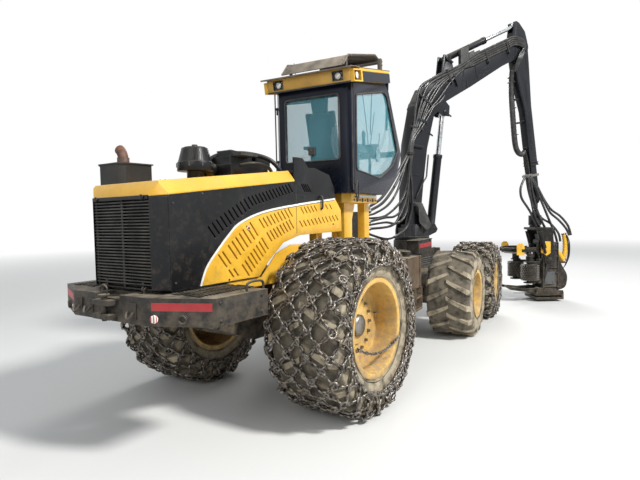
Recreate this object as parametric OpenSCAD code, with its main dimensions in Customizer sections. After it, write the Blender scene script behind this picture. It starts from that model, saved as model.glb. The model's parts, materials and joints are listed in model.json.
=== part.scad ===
// Six-wheel forestry harvester: rear engine module, steered front module with cab, crane and head.
// Millimetres. X points forward, Y to the left, Z up, wheels on Z = 0.

/* [Wheels] */
// Rear tyre radius at the lug tips
rear_tyre_r = 814; // [790:1:830]
// Rear tyre width
rear_tyre_w = 740; // [680:5:760]
// Rear wheel centre from the middle of the machine
rear_track = 1050; // [1040:1:1090]
// Rear rim radius at the bead
rear_rim_r = 455; // [430:1:470]
// Bogie tyre radius at the lug tips
bogie_tyre_r = 656; // [620:1:665]
// Bogie tyre width
bogie_tyre_w = 680; // [600:5:690]
// Bogie wheel centre from the middle of the machine
bogie_track = 1100; // [1095:1:1130]
// Bogie rim radius at the bead
bogie_rim_r = 345; // [320:1:360]
// Lug height of the rear tyres
rear_lug_h = 42; // [25:1:50]
// Lug height of the bogie tyres
bogie_lug_h = 34; // [20:1:40]
// Lugs on each side of a tyre
lug_count = 16; // [12:1:18]
// Thickness of a chain bar in the nets
chain_d = 22; // [14:1:26]
// Meshes of a chain net round a tyre
chain_count = 18; // [12:1:20]
// Radius of a wheel's stub axle
stub_r = 120; // [90:1:130]

/* [Layout] */
// Articulation pin ahead of the rear axle
pivot_x = 1780; // [1760:5:1820]
// Steering angle as parked, to the left
steer_rest = 6.3; // [0:0.1:12]
// Bogie centre ahead of the articulation pin
bogie_ahead = 2404; // [2380:5:2500]
// Half the distance between the two bogie axles
bogie_half = 758; // [750:1:790]
// Crane pillar ahead of the articulation pin
pillar_ahead = 2850; // [2800:5:2950]
// Middle of the whole machine ahead of the rear axle
origin_x = 2987; // [2900:1:3200]
// Middle of the whole machine to the left of the rear module's middle
origin_y = 8; // [-200:1:200]

/* [Rear module] */
// Half the width of the rear frame
rear_frame_hw = 300; // [280:5:330]
// Thickness of the frame's side plates
frame_t = 30; // [20:1:40]
// Half the width of the hood
hood_hw = 495; // [470:5:510]
// Rear face of the hood behind the rear axle
hood_back = 1720; // [1700:5:1740]
// Height of the hood's lower edge
hood_low_z = 1345; // [1340:1:1360]
// Height of the hood's top at the rear
hood_top_z = 2190; // [2150:5:2230]
// Slope of the hood's top
hood_slope = 6.0; // [4:0.1:7]
// Thickness of the hood's panels
panel_t = 22; // [12:1:30]
// Louvres in the rear grille
louvre_count = 27; // [16:1:28]
// Half the width of the bumper at its outer corners
bumper_hw = 975; // [930:5:990]
// Height of the bumper wings' top
bumper_top_z = 1320; // [1290:1:1325]
// Height of the bumper's underside
bumper_low_z = 1110; // [1080:1:1140]
// Radius of the tow pin
tow_pin_r = 25; // [18:0.5:30]

/* [Front module] */
// Half the width of the front frame
front_frame_hw = 290; // [260:5:310]
// Height of the front frame's deck
deck_z = 1250; // [1220:5:1280]
// Rear wall of the cab behind the articulation pin
cab_behind = 940; // [900:5:945]
// Half the width of the cab
cab_hw = 519; // [480:1:525]
// Height of the cab floor's underside
cab_floor_z = 2160; // [2150:5:2200]
// Height of the cab's rear edge below the roof
cab_eave_z = 3430; // [3380:5:3480]
// Thickness of the cab's walls
cab_t = 40; // [25:1:50]
// Thickness of the window panes
glass_t = 8; // [5:0.5:12]
// Depth of the roof band
roof_h = 150; // [110:5:170]

/* [Crane] */
// Height of the boom foot's pin
foot_z = 2000; // [1950:5:2050]
// Boom foot's pin ahead of the slewing axis
foot_r = -50; // [-80:1:0]
// Slewing angle as parked, to the right of the front module
slew_rest = 36.3; // [20:0.1:50]
// Knee pin ahead of the boom foot
knee_r = 2780; // [2700:5:2850]
// Knee pin above the boom foot
knee_z = 3270; // [3200:5:3350]
// Width of the main boom
boom_w = 230; // [200:2:250]
// Length of the jib from the knee pin to the link pin
jib_len = 3175; // [3100:5:3250]
// Jib angle below the horizontal as parked
jib_rest = 81.5; // [75:0.1:86]
// Width of the jib box
jib_w = 170; // [150:2:176]
// Depth of the jib box
jib_box = 200; // [180:2:220]
// Wall of the jib box
jib_wall = 20; // [14:1:24]
// Radius of the main crane pins
pin_r = 50; // [40:1:55]
// Radial clearance of pins in their bores
pin_fit = 0.05; // [0.02:0.01:0.1]
// Side clearance between parts that move past each other
side_gap = 6; // [5:0.5:8]
// Radius of the lift cylinder's barrel
lift_barrel_r = 78; // [65:1:85]
// Radius of the jib cylinder's barrel
jib_barrel_r = 62; // [50:1:70]
// Radius of the steering cylinders' barrels
steer_barrel_r = 48; // [40:1:52]

/* [Head] */
// Rotator turned from the crane's plane as parked
head_turn = 154; // [0:1:180]
// Length of the link between jib and rotator
link_len = 330; // [300:5:360]
// Height of the head from its foot to the pin at the jib's tip
head_tall = 2130; // [2100:5:2200]
// Height of the tilt hinge above the head's foot
tilt_z = 860; // [820:5:900]
// Tilt hinge behind the rotator's axis
tilt_back = 190; // [160:5:220]
// Half the width of the head's frame
head_hw = 250; // [230:5:270]
// Feed roller radius
roller_r = 165; // [140:1:180]
// Reach of the delimbing knives ahead of the rotator's axis
knife_reach = 740; // [660:5:780]

/* [Hidden] */
$fn = 48;
bore_r = pin_r + pin_fit;
rear_axle_z = rear_tyre_r + chain_d;
mid_axle_z = bogie_tyre_r;
front_axle_z = bogie_tyre_r + chain_d;
bogie_x = pivot_x + bogie_ahead;
pillar_x = pivot_x + pillar_ahead;
cab_x = pivot_x - cab_behind;
hood_front = 700;
foot_cheek = boom_w / 2 + side_gap;
fork_z = [760, 1120];
fork_t = 50;
steer_z = 690;
steer_back = [900, 400];
steer_fore = [2150, 330];
slew_top = 1420;
lift_foot = [430, 1620];
lift_eye = [740, 3800];
jibcyl_foot = [800, 4820];
jib_horn = [-430, -70];
knee_slot = 530;
jib_open = 2440;
tip_z = foot_z + knee_z - jib_len * sin(jib_rest);
tip_r = foot_r + knee_r + jib_len * cos(jib_rest);
head_z = tip_z - head_tall;
seat = 0.3;
frame_back = -1600 + seat;
hinge_pin_r = 15;
hood_hinge = [-hood_back + 20, hood_low_z];
hood_edge = [80, 105];
hood_band = 115;
door_hinge = [cab_x + 96, cab_hw + 22];
hub_r = 42;
spindle_r = 60;
grip_x = 10;
grip_y = 205;
saw_pivot = [-380, -250];
door_hinge_z = [2520, 3180];

// Frames of reference: where each module of the machine stands as parked.
module in_rear() {
  translate([-origin_x, -origin_y, 0]) children();
}

module in_front() {
  in_rear() translate([pivot_x, 0, 0]) rotate([0, 0, steer_rest]) translate([-pivot_x, 0, 0]) children();
}

// The crane's own frame: X out along the crane, axis of slewing at X = 0, heights as in the whole machine.
module in_crane() {
  in_front() translate([pillar_x, 0, 0]) rotate([0, 0, -slew_rest]) children();
}

// The jib's own frame: X from the knee pin to the link pin, Z outwards.
module in_jib() {
  in_crane() translate([foot_r + knee_r, 0, foot_z + knee_z]) rotate([0, jib_rest, 0]) children();
}

// The head's own frame: Z on the rotator's axis, X towards the opening, heights above the head's foot.
module in_head() {
  in_crane() translate([tip_r, 0, head_z]) rotate([0, 0, head_turn]) children();
}

// Shared shapes.
// A profile in X and Z, made thick about the middle plane.
module side_plate(t, y = 0) {
  translate([0, y + t / 2, 0]) rotate([90, 0, 0]) linear_extrude(t) children();
}

// A rod or bore along Y.
module y_rod(r, w, x = 0, z = 0, y = 0) {
  translate([x, y, z]) rotate([90, 0, 0]) cylinder(r = r, h = w, center = true);
}

module z_rod(r, z0, z1, x = 0, y = 0) {
  translate([x, y, z0]) cylinder(r = r, h = z1 - z0);
}

module box(x0, x1, y0, y1, z0, z1) {
  translate([x0, y0, z0]) cube([x1 - x0, y1 - y0, z1 - z0]);
}

// A round bar between two points.
module bar(p, q, r) {
  d = q - p;
  translate(p) rotate([0, atan2(norm([d[0], d[1]]), d[2]), atan2(d[1], d[0])]) cylinder(r = r, h = norm(d));
}

// Wheels.
module carcass(r, w, rim, lug) {
  hw = w / 2;
  tread = r - lug;
  wall = rim + (r - rim) * 0.45;
  rotate([90, 0, 0]) rotate_extrude($fn = 64)
    polygon([[rim, -hw * 0.86], [rim + 45, -hw * 0.92], [wall, -hw], [tread - 70, -hw * 0.97],
      [tread, -hw * 0.74], [tread + 10, 0], [tread, hw * 0.74], [tread - 70, hw * 0.97],
      [wall, hw], [rim + 45, hw * 0.92], [rim, hw * 0.86]]);
}

// Chevron lugs: each starts at the middle and leans back towards the shoulder.
module lugs(r, w, lug, n) {
  root = 18;
  for (i = [0 : n - 1], s = [-1, 1])
    rotate([0, (i + (s > 0 ? 0.5 : 0)) * 360 / n, 0]) translate([0, 0, r - lug - root])
      linear_extrude(lug + root)
        polygon([[36, s * -22], [-34, s * -22], [-r * 0.14, s * w * 0.2], [-r * 0.24, s * w * 0.485],
          [-r * 0.14, s * w * 0.485], [-r * 0.05, s * w * 0.2]]);
}

// The net of a tyre chain: crossing bars over the tread and a ring of bars down each sidewall.
module chain_net(r, w, d, n) {
  lean = 54;
  for (i = [0 : n - 1], s = [-1, 1])
    rotate([0, i * 360 / n, 0]) {
      translate([0, 0, r + d / 2 - 8]) rotate([0, 0, s * lean])
        cube([w * 0.62, d, d + 16], center = true);
      translate([0, s * (w / 2 - 4), r - 135]) rotate([s * -6, 0, 0]) cube([d, d, 230], center = true);
    }
}

module tyre(r, w, rim, lug, chained) {
  color("#23211f") difference() {
    union() {
      carcass(r, w, rim, lug);
      intersection() {
        lugs(r, w, lug, lug_count);
        y_rod(r, 2 * w, $fn = 144);
      }
      if (chained) intersection() {
        chain_net(r, w, chain_d, chain_count);
        y_rod(r + chain_d, 2 * w);
      }
    }
    y_rod(rim + 2 * seat, w * 2);
  }
}

// Deep-dished rim: out is the side of the disc that shows.
module rim(r, w, out) {
  lip = 14;
  bead = w * 0.448;
  disc_y = out * w * 0.12;
  color("#e3a33a") difference() {
    union() {
      rotate([90, 0, 0]) rotate_extrude($fn = 64)
        polygon([[r, -bead], [r, bead], [r + 24, bead], [r + 24, bead + lip], [r - 30, bead + lip],
          [r - 42, w * 0.2], [r - 42, -w * 0.2], [r - 30, -bead - lip], [r + 24, -bead - lip], [r + 24, -bead]]);
      y_rod(r - 35, 30, y = disc_y);
      y_rod(stub_r + 60, 120, y = disc_y - out * 20);
    }
    translate([0, disc_y - out * 85, 0]) y_rod(stub_r + pin_fit, 230);
  }
}

module at_rear(s) {
  in_rear() translate([0, s * rear_track, rear_axle_z]) children();
}

module at_bogie(k, s) {
  in_front() translate([bogie_x + k * bogie_half, s * bogie_track, k > 0 ? front_axle_z : mid_axle_z]) children();
}

module tyre_rear_l() { at_rear(1) tyre(rear_tyre_r, rear_tyre_w, rear_rim_r, rear_lug_h, true); }
module tyre_rear_r() { at_rear(-1) tyre(rear_tyre_r, rear_tyre_w, rear_rim_r, rear_lug_h, true); }
module rim_rear_l() { at_rear(1) rim(rear_rim_r, rear_tyre_w, 1); }
module rim_rear_r() { at_rear(-1) rim(rear_rim_r, rear_tyre_w, -1); }
module tyre_mid_l() { at_bogie(-1, 1) tyre(bogie_tyre_r, bogie_tyre_w, bogie_rim_r, bogie_lug_h, false); }
module tyre_mid_r() { at_bogie(-1, -1) tyre(bogie_tyre_r, bogie_tyre_w, bogie_rim_r, bogie_lug_h, false); }
module rim_mid_l() { at_bogie(-1, 1) rim(bogie_rim_r, bogie_tyre_w, 1); }
module rim_mid_r() { at_bogie(-1, -1) rim(bogie_rim_r, bogie_tyre_w, -1); }
module tyre_front_l() { at_bogie(1, 1) tyre(bogie_tyre_r, bogie_tyre_w, bogie_rim_r, bogie_lug_h, true); }
module tyre_front_r() { at_bogie(1, -1) tyre(bogie_tyre_r, bogie_tyre_w, bogie_rim_r, bogie_lug_h, true); }
module rim_front_l() { at_bogie(1, 1) rim(bogie_rim_r, bogie_tyre_w, 1); }
module rim_front_r() { at_bogie(1, -1) rim(bogie_rim_r, bogie_tyre_w, -1); }

// Rear module.
// Fork plates round the articulation pin, in plan.
module fork_plan() {
  difference() {
    union() {
      polygon([[900, -rear_frame_hw], [pivot_x, -150], [pivot_x, 150], [900, rear_frame_hw]]);
      translate([pivot_x, 0]) circle(r = 150);
    }
    translate([pivot_x, 0]) circle(r = bore_r);
  }
}

module rear_frame() {
  color("#2b2b2c") in_rear() {
    difference() {
      union() {
        for (s = [-1, 1])
          side_plate(frame_t, s * (rear_frame_hw - frame_t / 2))
            polygon([[frame_back, 1100], [frame_back, 1250], [700, 1250], [1000, 1170], [1000, 760], [500, 700],
              [-500, 700], [-900, 860]]);
        for (x = [frame_back, -700, 640, 930])
          box(x, x + 40, -rear_frame_hw + 5, rear_frame_hw - 5, x < -1000 ? 1100 : 770, 1165);
        for (z = fork_z) translate([0, 0, z]) linear_extrude(fork_t) fork_plan();
        box(frame_back, 700, -rear_frame_hw + 5, rear_frame_hw - 5, 1225, 1250);
        // steering cylinder lugs
        for (s = [-1, 1], dz = [-1, 1])
          box(820, 980, s > 0 ? rear_frame_hw - 20 : -460, s > 0 ? 460 : -rear_frame_hw + 20,
            steer_z + dz * (steer_barrel_r + 20) - 12, steer_z + dz * (steer_barrel_r + 20) + 12);
        box(820, 980, -rear_frame_hw, rear_frame_hw, steer_z - steer_barrel_r - 32, 770);
      }
      for (s = [-1, 1]) z_rod(28.05, steer_z - 120, steer_z + 120, steer_back[0], s * steer_back[1]);
    }
  }
}

module bumper_plan() {
  polygon([[-1859, -482], [-1641, -bumper_hw], [-1076, -bumper_hw], [-1076, -620], [-1480, -620],
    [-1600, -430], [-1600, 430], [-1480, 620], [-1076, 620], [-1076, bumper_hw], [-1641, bumper_hw], [-1859, 482]]);
}

module rear_bumper() {
  color("#232527") in_rear() difference() {
    union() {
      translate([0, 0, bumper_low_z]) linear_extrude(bumper_top_z - bumper_low_z) bumper_plan();
      // tow coupling jaw
      box(-1930, -1840, -110, 110, bumper_low_z + 20, bumper_low_z + 60);
      box(-1930, -1840, -110, 110, bumper_low_z + 130, bumper_low_z + 170);
      // hinge brackets and pins of the hood
      for (s = [-1, 1]) {
        side_plate(20, s * 270) polygon([[-hood_back - 8, bumper_top_z - 1], [-hood_back - 8, hood_low_z + 8],
          [hood_hinge[0] - 8, hood_low_z + 22], [hood_hinge[0] + 12, hood_low_z + 22], [-1640, bumper_top_z - 1]]);
        y_rod(hinge_pin_r, 54, x = hood_hinge[0], z = hood_hinge[1], y = s * 250);
      }
    }
    box(-1990, -1700, -150, 150, bumper_top_z - 30, bumper_top_z + 10);
    for (s = [-1, 1]) box(-hood_back - 20, -1640, s * 240 - 19, s * 240 + 19, bumper_top_z - 12, bumper_top_z + 10);
    z_rod(tow_pin_r, bumper_low_z, bumper_low_z + 200, -1895, 0);
  }
}

module engine_block() {
  color("#55585a") in_rear() box(-1450, -250, -255, 255, 1250 + seat, 2000);
}

// Swinging arms of the rear wheels, on the frame's sides, with hub cases and stub axles.
module rear_axle() {
  color("#2d2d2e") in_rear() for (s = [-1, 1]) {
    side_plate(150, s * 410) union() {
      translate([0, rear_axle_z]) circle(r = 210);
      translate([620, 900]) circle(r = 150);
      polygon([[-20, rear_axle_z + 209], [640, 1048], [640, 752], [-20, rear_axle_z - 209]]);
    }
    y_rod(130, 40, x = 620, z = 900, y = s * (rear_frame_hw + seat + 20));
    y_rod(190, 330, z = rear_axle_z, y = s * 640);
    y_rod(stub_r, 330, z = rear_axle_z, y = s * (rear_track - 80));
  }
}

// Inner wheel-arch panels.
module rear_fenders() {
  color("#e8a92c") in_rear() for (s = [-1, 1]) {
    side_plate(12, s * (hood_hw - 34))
      polygon([[-1000, 1251], [-1000, 1330], [-560, 1330], [-330, 1540], [-100, 1610], [200, 1600],
        [430, 1500], [560, 1330], [700, 1251]]);
    for (x = [-900, 500]) box(x, x + 40, s > 0 ? 260 : -460, s > 0 ? 460 : -260, 1250 + seat, 1262);
  }
}

// Plan outline of the hood, with its rear corners cut.
module hood_plan(inset, x1) {
  b = -hood_back + inset;
  w = hood_hw - inset;
  polygon([[b, -361], [b + 80, -w], [x1, -w], [x1, w], [b + 80, w], [b, 361]]);
}

// Space below the sloping top skin, less a depth.
module under_slope(d) {
  translate([-hood_back, 0, hood_top_z - d]) rotate([0, -hood_slope, 0]) translate([-200, -1000, -2000])
    cube([3400, 2000, 2000]);
}

// A section in Y and Z carried along the hood's slope, Z from the top skin.
module along_slope() {
  translate([-hood_back, 0, hood_top_z]) rotate([0, -hood_slope, 0]) translate([-300, 0, 0])
    rotate([90, 0, 90]) linear_extrude(3400) children();
}

module hood_shell(z0, z1, x1) {
  difference() {
    translate([0, 0, z0]) linear_extrude(z1 - z0) hood_plan(0, x1);
    translate([0, 0, z0 - 1]) linear_extrude(z1 - z0 + 2) hood_plan(panel_t, x1 + 10);
  }
}

module hood_top() {
  color("#f0b93a") in_rear() difference() {
    intersection() {
      translate([0, 0, 1900]) linear_extrude(700) hood_plan(0, -44);
      under_slope(0);
      along_slope() polygon([[-hood_hw - 5, -600], [-hood_hw - 5, -hood_edge[1]], [-hood_hw + hood_edge[0], 1],
        [hood_hw - hood_edge[0], 1], [hood_hw + 5, -hood_edge[1]], [hood_hw + 5, -600]]);
      side_plate(1100) polygon([[-hood_back - 1, 1800], [-hood_back - 1, hood_top_z - hood_edge[1]],
        [-hood_back + hood_edge[0], hood_top_z + 60], [0, hood_top_z + 300], [0, 1800]]);
    }
    intersection() {
      translate([0, 0, 1800]) linear_extrude(900) hood_plan(panel_t, 100);
      under_slope(panel_t);
      along_slope() polygon([[-hood_hw + 15, -600], [-hood_hw + 15, -hood_edge[1]], [-hood_hw + hood_edge[0] + 20, 1],
        [hood_hw - hood_edge[0] - 20, 1], [hood_hw - 15, -hood_edge[1]], [hood_hw - 15, -600]]);
      box(-hood_back + hood_edge[0] + 10, 200, -600, 600, 1800, 2700);
    }
    under_slope(hood_band);
  }
}

// The white line's path over the side panel: black above it, yellow below it. Columns: x, z.
line_path = [[-1345, 1345], [-1275, 1490], [-1140, 1630], [-1000, 1755], [-860, 1850], [-520, 1948], [40, 2020], [710, 2085]];

module black_profile() {
  polygon(concat([[-hood_back - 100, hood_low_z], [-hood_back - 100, 2400], [-44, 2520], [80, 2520]],
    [[200, 2405], [320, 2410], [600, 2350], [690, 2200]], [for (i = [len(line_path) - 1 : -1 : 0]) line_path[i]]));
}

module hood_side_black() {
  color("#26292c") in_rear() difference() {
    union() {
      intersection() {
        hood_shell(hood_low_z, 2500, hood_front + 20);
        side_plate(1100) black_profile();
        union() {
          under_slope(hood_band);
          box(-44, 800, -600, 600, 1800, 2500);
        }
      }
      // rounded cap over the front end
      intersection() {
        side_plate(2 * hood_hw)
          polygon([[-44, 2345], [-44, 2368], [320, 2410], [600, 2350], [700, 2200], [715, 2085], [690, 2085],
            [676, 2190], [585, 2328], [320, 2386]]);
        box(-44, 800, -hood_hw, hood_hw, 1800, 2500);
      }
    }
    box(-1900, -1630, -480, 480, hood_low_z + 10, 2070);
    for (s = [-1, 1]) box(-1760, -1640, s * 260 - 40, s * 260 + 40, hood_low_z - 10, hood_low_z + 20);
    slots(fan_rows);
  }
}

module yellow_profile() {
  polygon(concat(line_path, [[830, 1960], [842, 1714], [20, 1702], [-250, 1640], [-480, 1480], [-620, 1345]]));
}

// Rows of slanted slots in the side panels. Columns: first x, first z, step in x, step in z, slots, length.
slot_rows = [[-1090, 1530, 50, 20, 2, 155], [-965, 1595, 47.5, 32, 7, 170], [-570, 1835, 55, 12.5, 9, 115],
  [75, 1955, 61, 5, 5, 90], [535, 1995, 80, 0, 2, 75], [50, 1815, 69, 5.5, 11, 85], [-990, 1410, 60, 5, 2, 95],
  [-805, 1420, 39.3, 32, 8, 150], [-465, 1705, 50, 16.4, 8, 120]];
fan_rows = [[-1205, 1780, 48, 27, 5, 130], [-965, 1915, 50, 25, 5, 125], [-715, 2040, 50, 11.7, 13, 110],
  [100, 2190, 35, 0, 4, 110]];
slot_w = 17;

module slots(rows) {
  for (row = rows, i = [0 : row[4] - 1])
    translate([row[0] + i * row[2], 0, row[1] + i * row[3]]) rotate([0, -40, 0])
      cube([slot_w, 1200, row[5]], center = true);
}

module hood_side_yellow() {
  color("#f0b93a") in_rear() difference() {
    for (s = [-1, 1]) side_plate(panel_t, s * (hood_hw - panel_t / 2)) yellow_profile();
    slots(slot_rows);
  }
}

// Louvres: each a bar that follows the rear face and its cut corners.
module rear_grille() {
  depth = 26;
  pitch = (2060 - hood_low_z - 40) / louvre_count;
  color("#151515") in_rear() {
    for (i = [0 : louvre_count - 1])
      translate([0, 0, hood_low_z + 36 + i * pitch]) linear_extrude(pitch * 0.45)
        polygon([[-hood_back, -361], [-hood_back, 361], [-hood_back + 62, 464], [-hood_back + 62 + depth, 464],
          [-hood_back + depth, 361], [-hood_back + depth, -361], [-hood_back + 62 + depth, -464],
          [-hood_back + 62, -464]]);
    for (y = [-355, 0, 355])
      box(-hood_back + 12, -hood_back + depth + 12, y - 12, y + 12, hood_low_z + 10 + seat, 2070 - seat);
    for (s = [-1, 1])
      box(-hood_back + 54, -1640 - seat, s * 458 - 6, s * 458 + 6, hood_low_z + 10 + seat, 2070 - seat);
    // hinge eyes under the grille
    for (s = [-1, 1]) difference() {
      union() {
        y_rod(hinge_pin_r + 10, 26, x = hood_hinge[0], z = hood_hinge[1], y = s * 240);
        box(hood_hinge[0] - 12, hood_hinge[0] + 12, s * 240 - 13, s * 240 + 13, hood_hinge[1], hood_low_z + 60);
      }
      y_rod(hinge_pin_r + pin_fit, 60, x = hood_hinge[0], z = hood_hinge[1], y = s * 240);
    }
  }
}

// Curved end of the exhaust pipe, bent to the left.
module elbow(r, turn) {
  translate([-1340, 480, 2450]) rotate([90, 0, 90]) translate([110, 0, 0]) rotate([0, 0, 180 - turn])
    rotate_extrude(angle = turn) translate([110, 0]) circle(r = r);
}

// Silencer box that hangs over the hood's left edge, with its curved pipe.
module exhaust() {
  color("#26282a") in_rear() difference() {
    union() {
      translate([0, 0, 2010]) linear_extrude(384)
        polygon([[-1500, 340], [-1500, 600], [-1420, 700], [-1180, 700], [-1180, 290], [-1450, 290]]);
      translate([0, 0, 2390]) linear_extrude(12)
        polygon([[-1512, 334], [-1512, 606], [-1426, 712], [-1168, 712], [-1168, 278], [-1456, 278]]);
      z_rod(54, 2390, 2465, -1340, 480);
      elbow(46, 58);
    }
    elbow(40, 59);
    intersection() {
      under_slope(-seat);
      box(-2000, 0, -800, hood_hw + seat, 1500, 2700);
    }
  }
}

module intake() {
  color("#1f1f20") in_rear() difference() {
    union() {
      z_rod(80, 2200, 2345, -860, 60);
      z_rod(168, 2342, 2425, -860, 60);
      translate([-860, 60, 2424]) cylinder(r1 = 160, r2 = 122, h = 136);
      box(-600, -50, -150, 280, 2280, 2420);
      box(-570, -250, -110, 200, 2410, 2500);
      box(-180, 60, -90, 220, 2414, 2530);
      translate([0, 0, 2490]) linear_extrude(70) polygon([[-520, -80], [-300, -100], [-270, 120], [-430, 180], [-540, 90]]);
    }
    under_slope(-seat);
  }
}

// Front module.
module front_frame() {
  color("#2b2b2c") in_front() {
    difference() {
      union() {
        // knuckle between the fork plates, with the articulation pin
        translate([0, 0, fork_z[0] + fork_t + 8]) linear_extrude(fork_z[1] - fork_z[0] - fork_t - 16) union() {
          translate([pivot_x, 0]) circle(r = 130);
          polygon([[pivot_x, -130], [2160, -250], [2160, 250], [pivot_x, 130]]);
        }
        z_rod(pin_r, fork_z[0] - 20, fork_z[1] + fork_t + 20, pivot_x);
        for (s = [-1, 1])
          side_plate(frame_t, s * (front_frame_hw - frame_t / 2))
            polygon([[2130, 800], [2130, 1130], [2400, deck_z], [5150, deck_z], [5150, 980], [4800, 860], [2500, 800]]);
        box(2130, 5150, -front_frame_hw + 5, front_frame_hw - 5, deck_z - 30, deck_z);
        box(1150, 2500, -260, 260, deck_z - 60, deck_z);
        for (x = [2130, 2900, 3500, 4800]) box(x, x + 40, -front_frame_hw + 5, front_frame_hw - 5, 830, 1130);
        // crane seat with the slewing spigot
        z_rod(340, deck_z - 5, slew_top, pillar_x);
        z_rod(150, slew_top - 10, slew_top + 150, pillar_x);
        // axle beam through to the bogies
        y_rod(150, 2 * (535 - seat), x = bogie_x, z = mid_axle_z + 130);
        // steering cylinder lugs
        for (dz = [-1, 1])
          box(2080, 2220, -390, 390, steer_z + dz * (steer_barrel_r + 20) - 12, steer_z + dz * (steer_barrel_r + 20) + 12);
        box(2150, 2220, -200, 200, steer_z - 60, 830);
        // front guard
        side_plate(2 * front_frame_hw + 160)
          polygon([[5150, 900], [5150, 1240], [5230, 1240], [5260, 1100], [5200, 900]]);
      }
      for (s = [-1, 1]) z_rod(28.05, steer_z - 120, steer_z + 120, steer_fore[0], s * steer_fore[1]);
    }
  }
}

module bogie_boxes() {
  color("#2d2d2e") in_front() for (s = [-1, 1]) {
    side_plate(170, s * 620)
      polygon([[bogie_x - bogie_half - 170, mid_axle_z - 120], [bogie_x - bogie_half - 170, mid_axle_z + 120],
        [bogie_x - bogie_half - 60, mid_axle_z + 190], [bogie_x, mid_axle_z + 300],
        [bogie_x + bogie_half + 60, front_axle_z + 190], [bogie_x + bogie_half + 170, front_axle_z + 120],
        [bogie_x + bogie_half + 170, front_axle_z - 120], [bogie_x + bogie_half + 60, front_axle_z - 190],
        [bogie_x, mid_axle_z - 150], [bogie_x - bogie_half - 60, mid_axle_z - 190]]);
    for (k = [-1, 1]) {
      z = k > 0 ? front_axle_z : mid_axle_z;
      y_rod(180, 240, x = bogie_x + k * bogie_half, z = z, y = s * 800);
      y_rod(stub_r, 400, x = bogie_x + k * bogie_half, z = z, y = s * (bogie_track - 140));
    }
  }
}

// Tank on the right and battery box with steps on the left.
module side_tanks() {
  color("#4a4640") in_front() for (s = [-1, 1]) {
    difference() {
      box(1900, 2690, s > 0 ? front_frame_hw + seat : -760, s > 0 ? 760 : -front_frame_hw - seat, 830, 1290);
      box(1850, 2135, s > 0 ? 0 : -460, s > 0 ? 460 : 0, 700, 1400);
    }
    for (z = [520, 690]) box(2300, 2600, s > 0 ? 640 : -800, s > 0 ? 800 : -640, z, z + 25);
    for (x = [2300, 2588]) box(x, x + 12, s > 0 ? 640 : -800, s > 0 ? 800 : -640, 520, 840);
  }
}

module cab_base() {
  color("#e8a92c") in_front() {
    translate([0, 0, cab_floor_z - 110]) linear_extrude(110 - seat)
      polygon([[pivot_x - 790, -300], [pivot_x - 700, -390], [1900, -390], [2000, -290], [2000, 290], [1900, 390],
        [pivot_x - 700, 390], [pivot_x - 790, 300]]);
    for (s = [-1, 1]) side_plate(14, s * 240) polygon([[1320, cab_floor_z - 100], [1320, deck_z + 119], [1500, deck_z + 119],
      [1400, deck_z + 320], [1400, cab_floor_z - 320], [1500, cab_floor_z - 100]]);
    for (x = [1160, 1800], s = [-1, 1]) box(x, x + 160, s * 200 - 50, s * 200 + 50, deck_z + seat, cab_floor_z - 100);
    box(1160, 2400, -250, 250, deck_z + seat, deck_z + 120);
  }
}

// The cab's side outline, and the same less the wall's thickness.
module cab_side(d) {
  offset(delta = -d) polygon([[cab_x, cab_floor_z], [cab_x, cab_eave_z], [2020, 3660], [2560, 2760],
    [2350, 2420], [1900, cab_floor_z]]);
}

module cab_plan() {
  polygon([[cab_x, -cab_hw + 60], [cab_x + 60, -cab_hw], [2900, -cab_hw], [2900, cab_hw], [cab_x + 60, cab_hw],
    [cab_x, cab_hw - 60]]);
}

module side_window(d) {
  offset(delta = -d) polygon([[cab_x + 120, cab_floor_z + 270], [cab_x + 140, 3310], [1900, 3520], [2010, 3480],
    [2400, 2780], [2180, 2560], [1700, cab_floor_z + 210]]);
}

module door_outline(d) {
  offset(delta = -d) polygon([[cab_x + 90, cab_floor_z + 60], [cab_x + 90, 3380], [1960, 3590], [2050, 3510],
    [2450, 2770], [2220, 2500], [1800, cab_floor_z + 60]]);
}

module rear_window(d) {
  translate([cab_x - 100, -360 + d, cab_floor_z + 390 + d]) cube([400, 730 - 2 * d, 760 - 2 * d]);
}

module windscreen(d, t, at) {
  translate([2560, 0, 2760]) rotate([0, -31, 0]) translate([at, -cab_hw + 70 + d, 60 + d])
    cube([t, 2 * (cab_hw - 70 - d), 920 - 2 * d]);
}

module front_pane(d, t, at) {
  translate([2350, 0, 2420]) rotate([0, 32, 0]) translate([at, -cab_hw + 70 + d, 40 + d])
    cube([t, 2 * (cab_hw - 70 - d), 320 - 2 * d]);
}

module cab_frame() {
  color("#1f2430") in_front() difference() {
    intersection() {
      side_plate(2 * cab_hw) cab_side(0);
      translate([0, 0, 2000]) linear_extrude(2000) cab_plan();
    }
    side_plate(2 * (cab_hw - cab_t)) cab_side(cab_t);
    side_plate(400, -cab_hw) side_window(0);
    side_plate(400, cab_hw) door_outline(0);
    rear_window(0);
    windscreen(0, 400, -120);
    front_pane(0, 300, -150);
  }
  // fixed halves of the door hinges, with their pins
  color("#1f2430") in_front() for (z = door_hinge_z) {
    box(cab_x + 62, door_hinge[0] + 11, cab_hw + 9, cab_hw + 40, z + 50, z + 80);
    box(cab_x + 62, cab_x + 82, cab_hw - 5, cab_hw + 10, z + 50, z + 80);
    z_rod(12, z - 5, z + 60, door_hinge[0], door_hinge[1]);
  }
}

module cab_glass() {
  color("#8fc7cf") in_front() {
    side_plate(glass_t, -cab_hw + cab_t / 2) side_window(seat);
    translate([cab_x + cab_t / 2, -360 + seat, cab_floor_z + 390 + seat]) cube([glass_t, 730 - 2 * seat, 760 - 2 * seat]);
    windscreen(seat, glass_t, -24);
    front_pane(seat, glass_t, -26);
  }
}

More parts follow.
